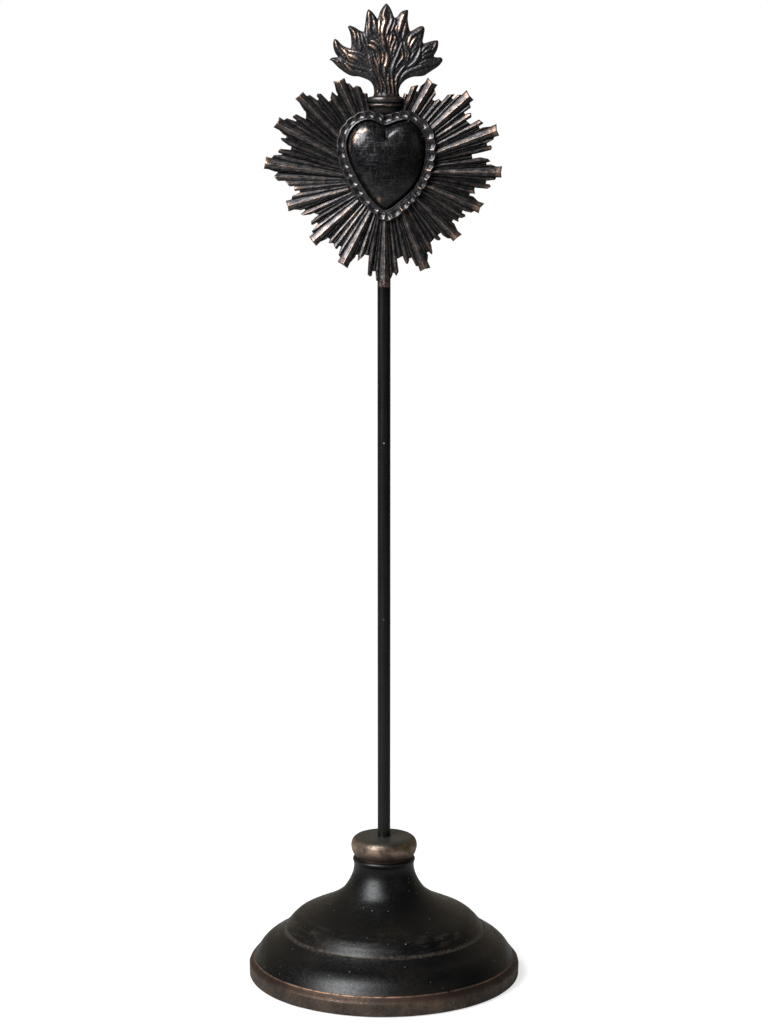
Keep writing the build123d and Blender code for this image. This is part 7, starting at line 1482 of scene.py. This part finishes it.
# ---------------------------------------------------------------- floor, light and camera
def floor_disc(radius=1.0):
    """Pale round floor whose edge fades into the pale background."""
    rings = [0.0, 0.05, 0.12, 0.2, 0.3, 0.42, 0.55, 0.7, 0.85, radius]
    verts, faces = [(0, 0, 0)], []
    n = 64
    for r in rings[1:]:
        verts += [(r * math.cos(2 * math.pi * i / n), r * math.sin(2 * math.pi * i / n), 0) for i in range(n)]
    faces += [(0, 1 + i, 1 + (i + 1) % n) for i in range(n)]
    for k in range(len(rings) - 2):
        for i in range(n):
            j = (i + 1) % n
            faces.append((1 + k * n + i, 1 + (k + 1) * n + i, 1 + (k + 1) * n + j, 1 + k * n + j))
    mesh = bpy.data.meshes.new("studio_floor")
    mesh.from_pydata(verts, [], faces)
    f = Finish("pale_floor")
    f.set(base=f.ramp(f.noise(3.0, 2.0), [(0.3, (0.40, 0.40, 0.40)), (0.7, (0.42, 0.42, 0.42))]), rough=0.9, specular=0.0)
    glow = f.put("ShaderNodeEmission")
    glow.inputs["Strength"].default_value = 0.72
    lit = f.put("ShaderNodeAddShader")
    f.feed(lit.inputs[0], f.shader.outputs[0])
    f.feed(lit.inputs[1], glow.outputs[0])
    seen = f.put("ShaderNodeMixShader")
    f.feed(seen.inputs[0], f.put("ShaderNodeLightPath").outputs["Is Camera Ray"])
    f.feed(seen.inputs[1], f.shader.outputs[0])
    f.feed(seen.inputs[2], lit.outputs[0])
    away = f.put("ShaderNodeVectorMath", operation="LENGTH")
    f.feed(away.inputs[0], f.coords)
    share = f.range(away.outputs["Value"], 0.30, 0.95)
    clear = f.put("ShaderNodeBsdfTransparent")
    both = f.put("ShaderNodeMixShader")
    f.feed(both.inputs[0], share)
    f.feed(both.inputs[1], seen.outputs[0])
    f.feed(both.inputs[2], clear.outputs[0])
    f.feed(f.out.inputs[0], both.outputs[0])
    obj = bpy.data.objects.new("studio_floor", mesh)
    mesh.materials.append(f.mat)
    bpy.context.scene.collection.objects.link(obj)


floor_disc()

# background: white behind the object, and a dim room for light and reflections
world = bpy.data.worlds.new("studio")
bpy.context.scene.world = world
world.use_nodes = True
wt = world.node_tree
room = wt.nodes["Background"]
way = wt.nodes.new("ShaderNodeTexCoord")
parts = wt.nodes.new("ShaderNodeSeparateXYZ")
wt.links.new(way.outputs["Generated"], parts.inputs[0])
rear = wt.nodes.new("ShaderNodeMapRange")
rear.interpolation_type = "SMOOTHSTEP"
rear.inputs["From Min"].default_value, rear.inputs["From Max"].default_value = -0.1, 0.8
wt.links.new(parts.outputs[1], rear.inputs["Value"])
tone = wt.nodes.new("ShaderNodeMix")
tone.data_type = "RGBA"
wt.links.new(rear.outputs[0], tone.inputs[0])
tone.inputs[6].default_value = (0.026, 0.027, 0.030, 1)
tone.inputs[7].default_value = (0.27, 0.235, 0.183, 1)
wt.links.new(tone.outputs[2], room.inputs[0])
room.inputs[1].default_value = 1.0
white = wt.nodes.new("ShaderNodeBackground")
white.inputs[0].default_value = (1.0, 1.0, 1.0, 1)
white.inputs[1].default_value = 1.0
blend = wt.nodes.new("ShaderNodeMixShader")
path = wt.nodes.new("ShaderNodeLightPath")
wt.links.new(path.outputs["Is Camera Ray"], blend.inputs[0])
wt.links.new(room.outputs[0], blend.inputs[1])
wt.links.new(white.outputs[0], blend.inputs[2])
wt.links.new(blend.outputs[0], wt.nodes["World Output"].inputs[0])


def softbox(name, place, aim, size, power, colour=(1, 1, 1)):
    data = bpy.data.lights.new(name, "AREA")
    data.shape = "RECTANGLE"
    data.size, data.size_y = size
    data.energy = power
    data.color = colour
    obj = bpy.data.objects.new(name, data)
    obj.location = place
    obj.rotation_euler = (Vector(aim) - Vector(place)).to_track_quat("-Z", "Y").to_euler()
    bpy.context.scene.collection.objects.link(obj)


softbox("key", (-1.05, -1.15, 1.35), (0, 0, 0.20), (1.2, 1.45), 84, (0.97, 0.985, 1.0))
softbox("fill", (1.7, -1.3, 0.9), (0, 0, 0.2), (1.4, 1.4), 1.8, (1.0, 0.95, 0.88))

cam = bpy.data.cameras.new("camera")
cam.sensor_width = 36.0
cam.lens = 94.92
cam.clip_start, cam.clip_end = 0.05, 30
cam_obj = bpy.data.objects.new("camera", cam)
cam_obj.location = (0.0, -1.030, 0.35609)
cam_obj.rotation_euler = (math.radians(90 - 9.4), 0, 0)
bpy.context.scene.collection.objects.link(cam_obj)
bpy.context.scene.camera = cam_obj
bpy.context.scene.view_settings.view_transform = "Standard"
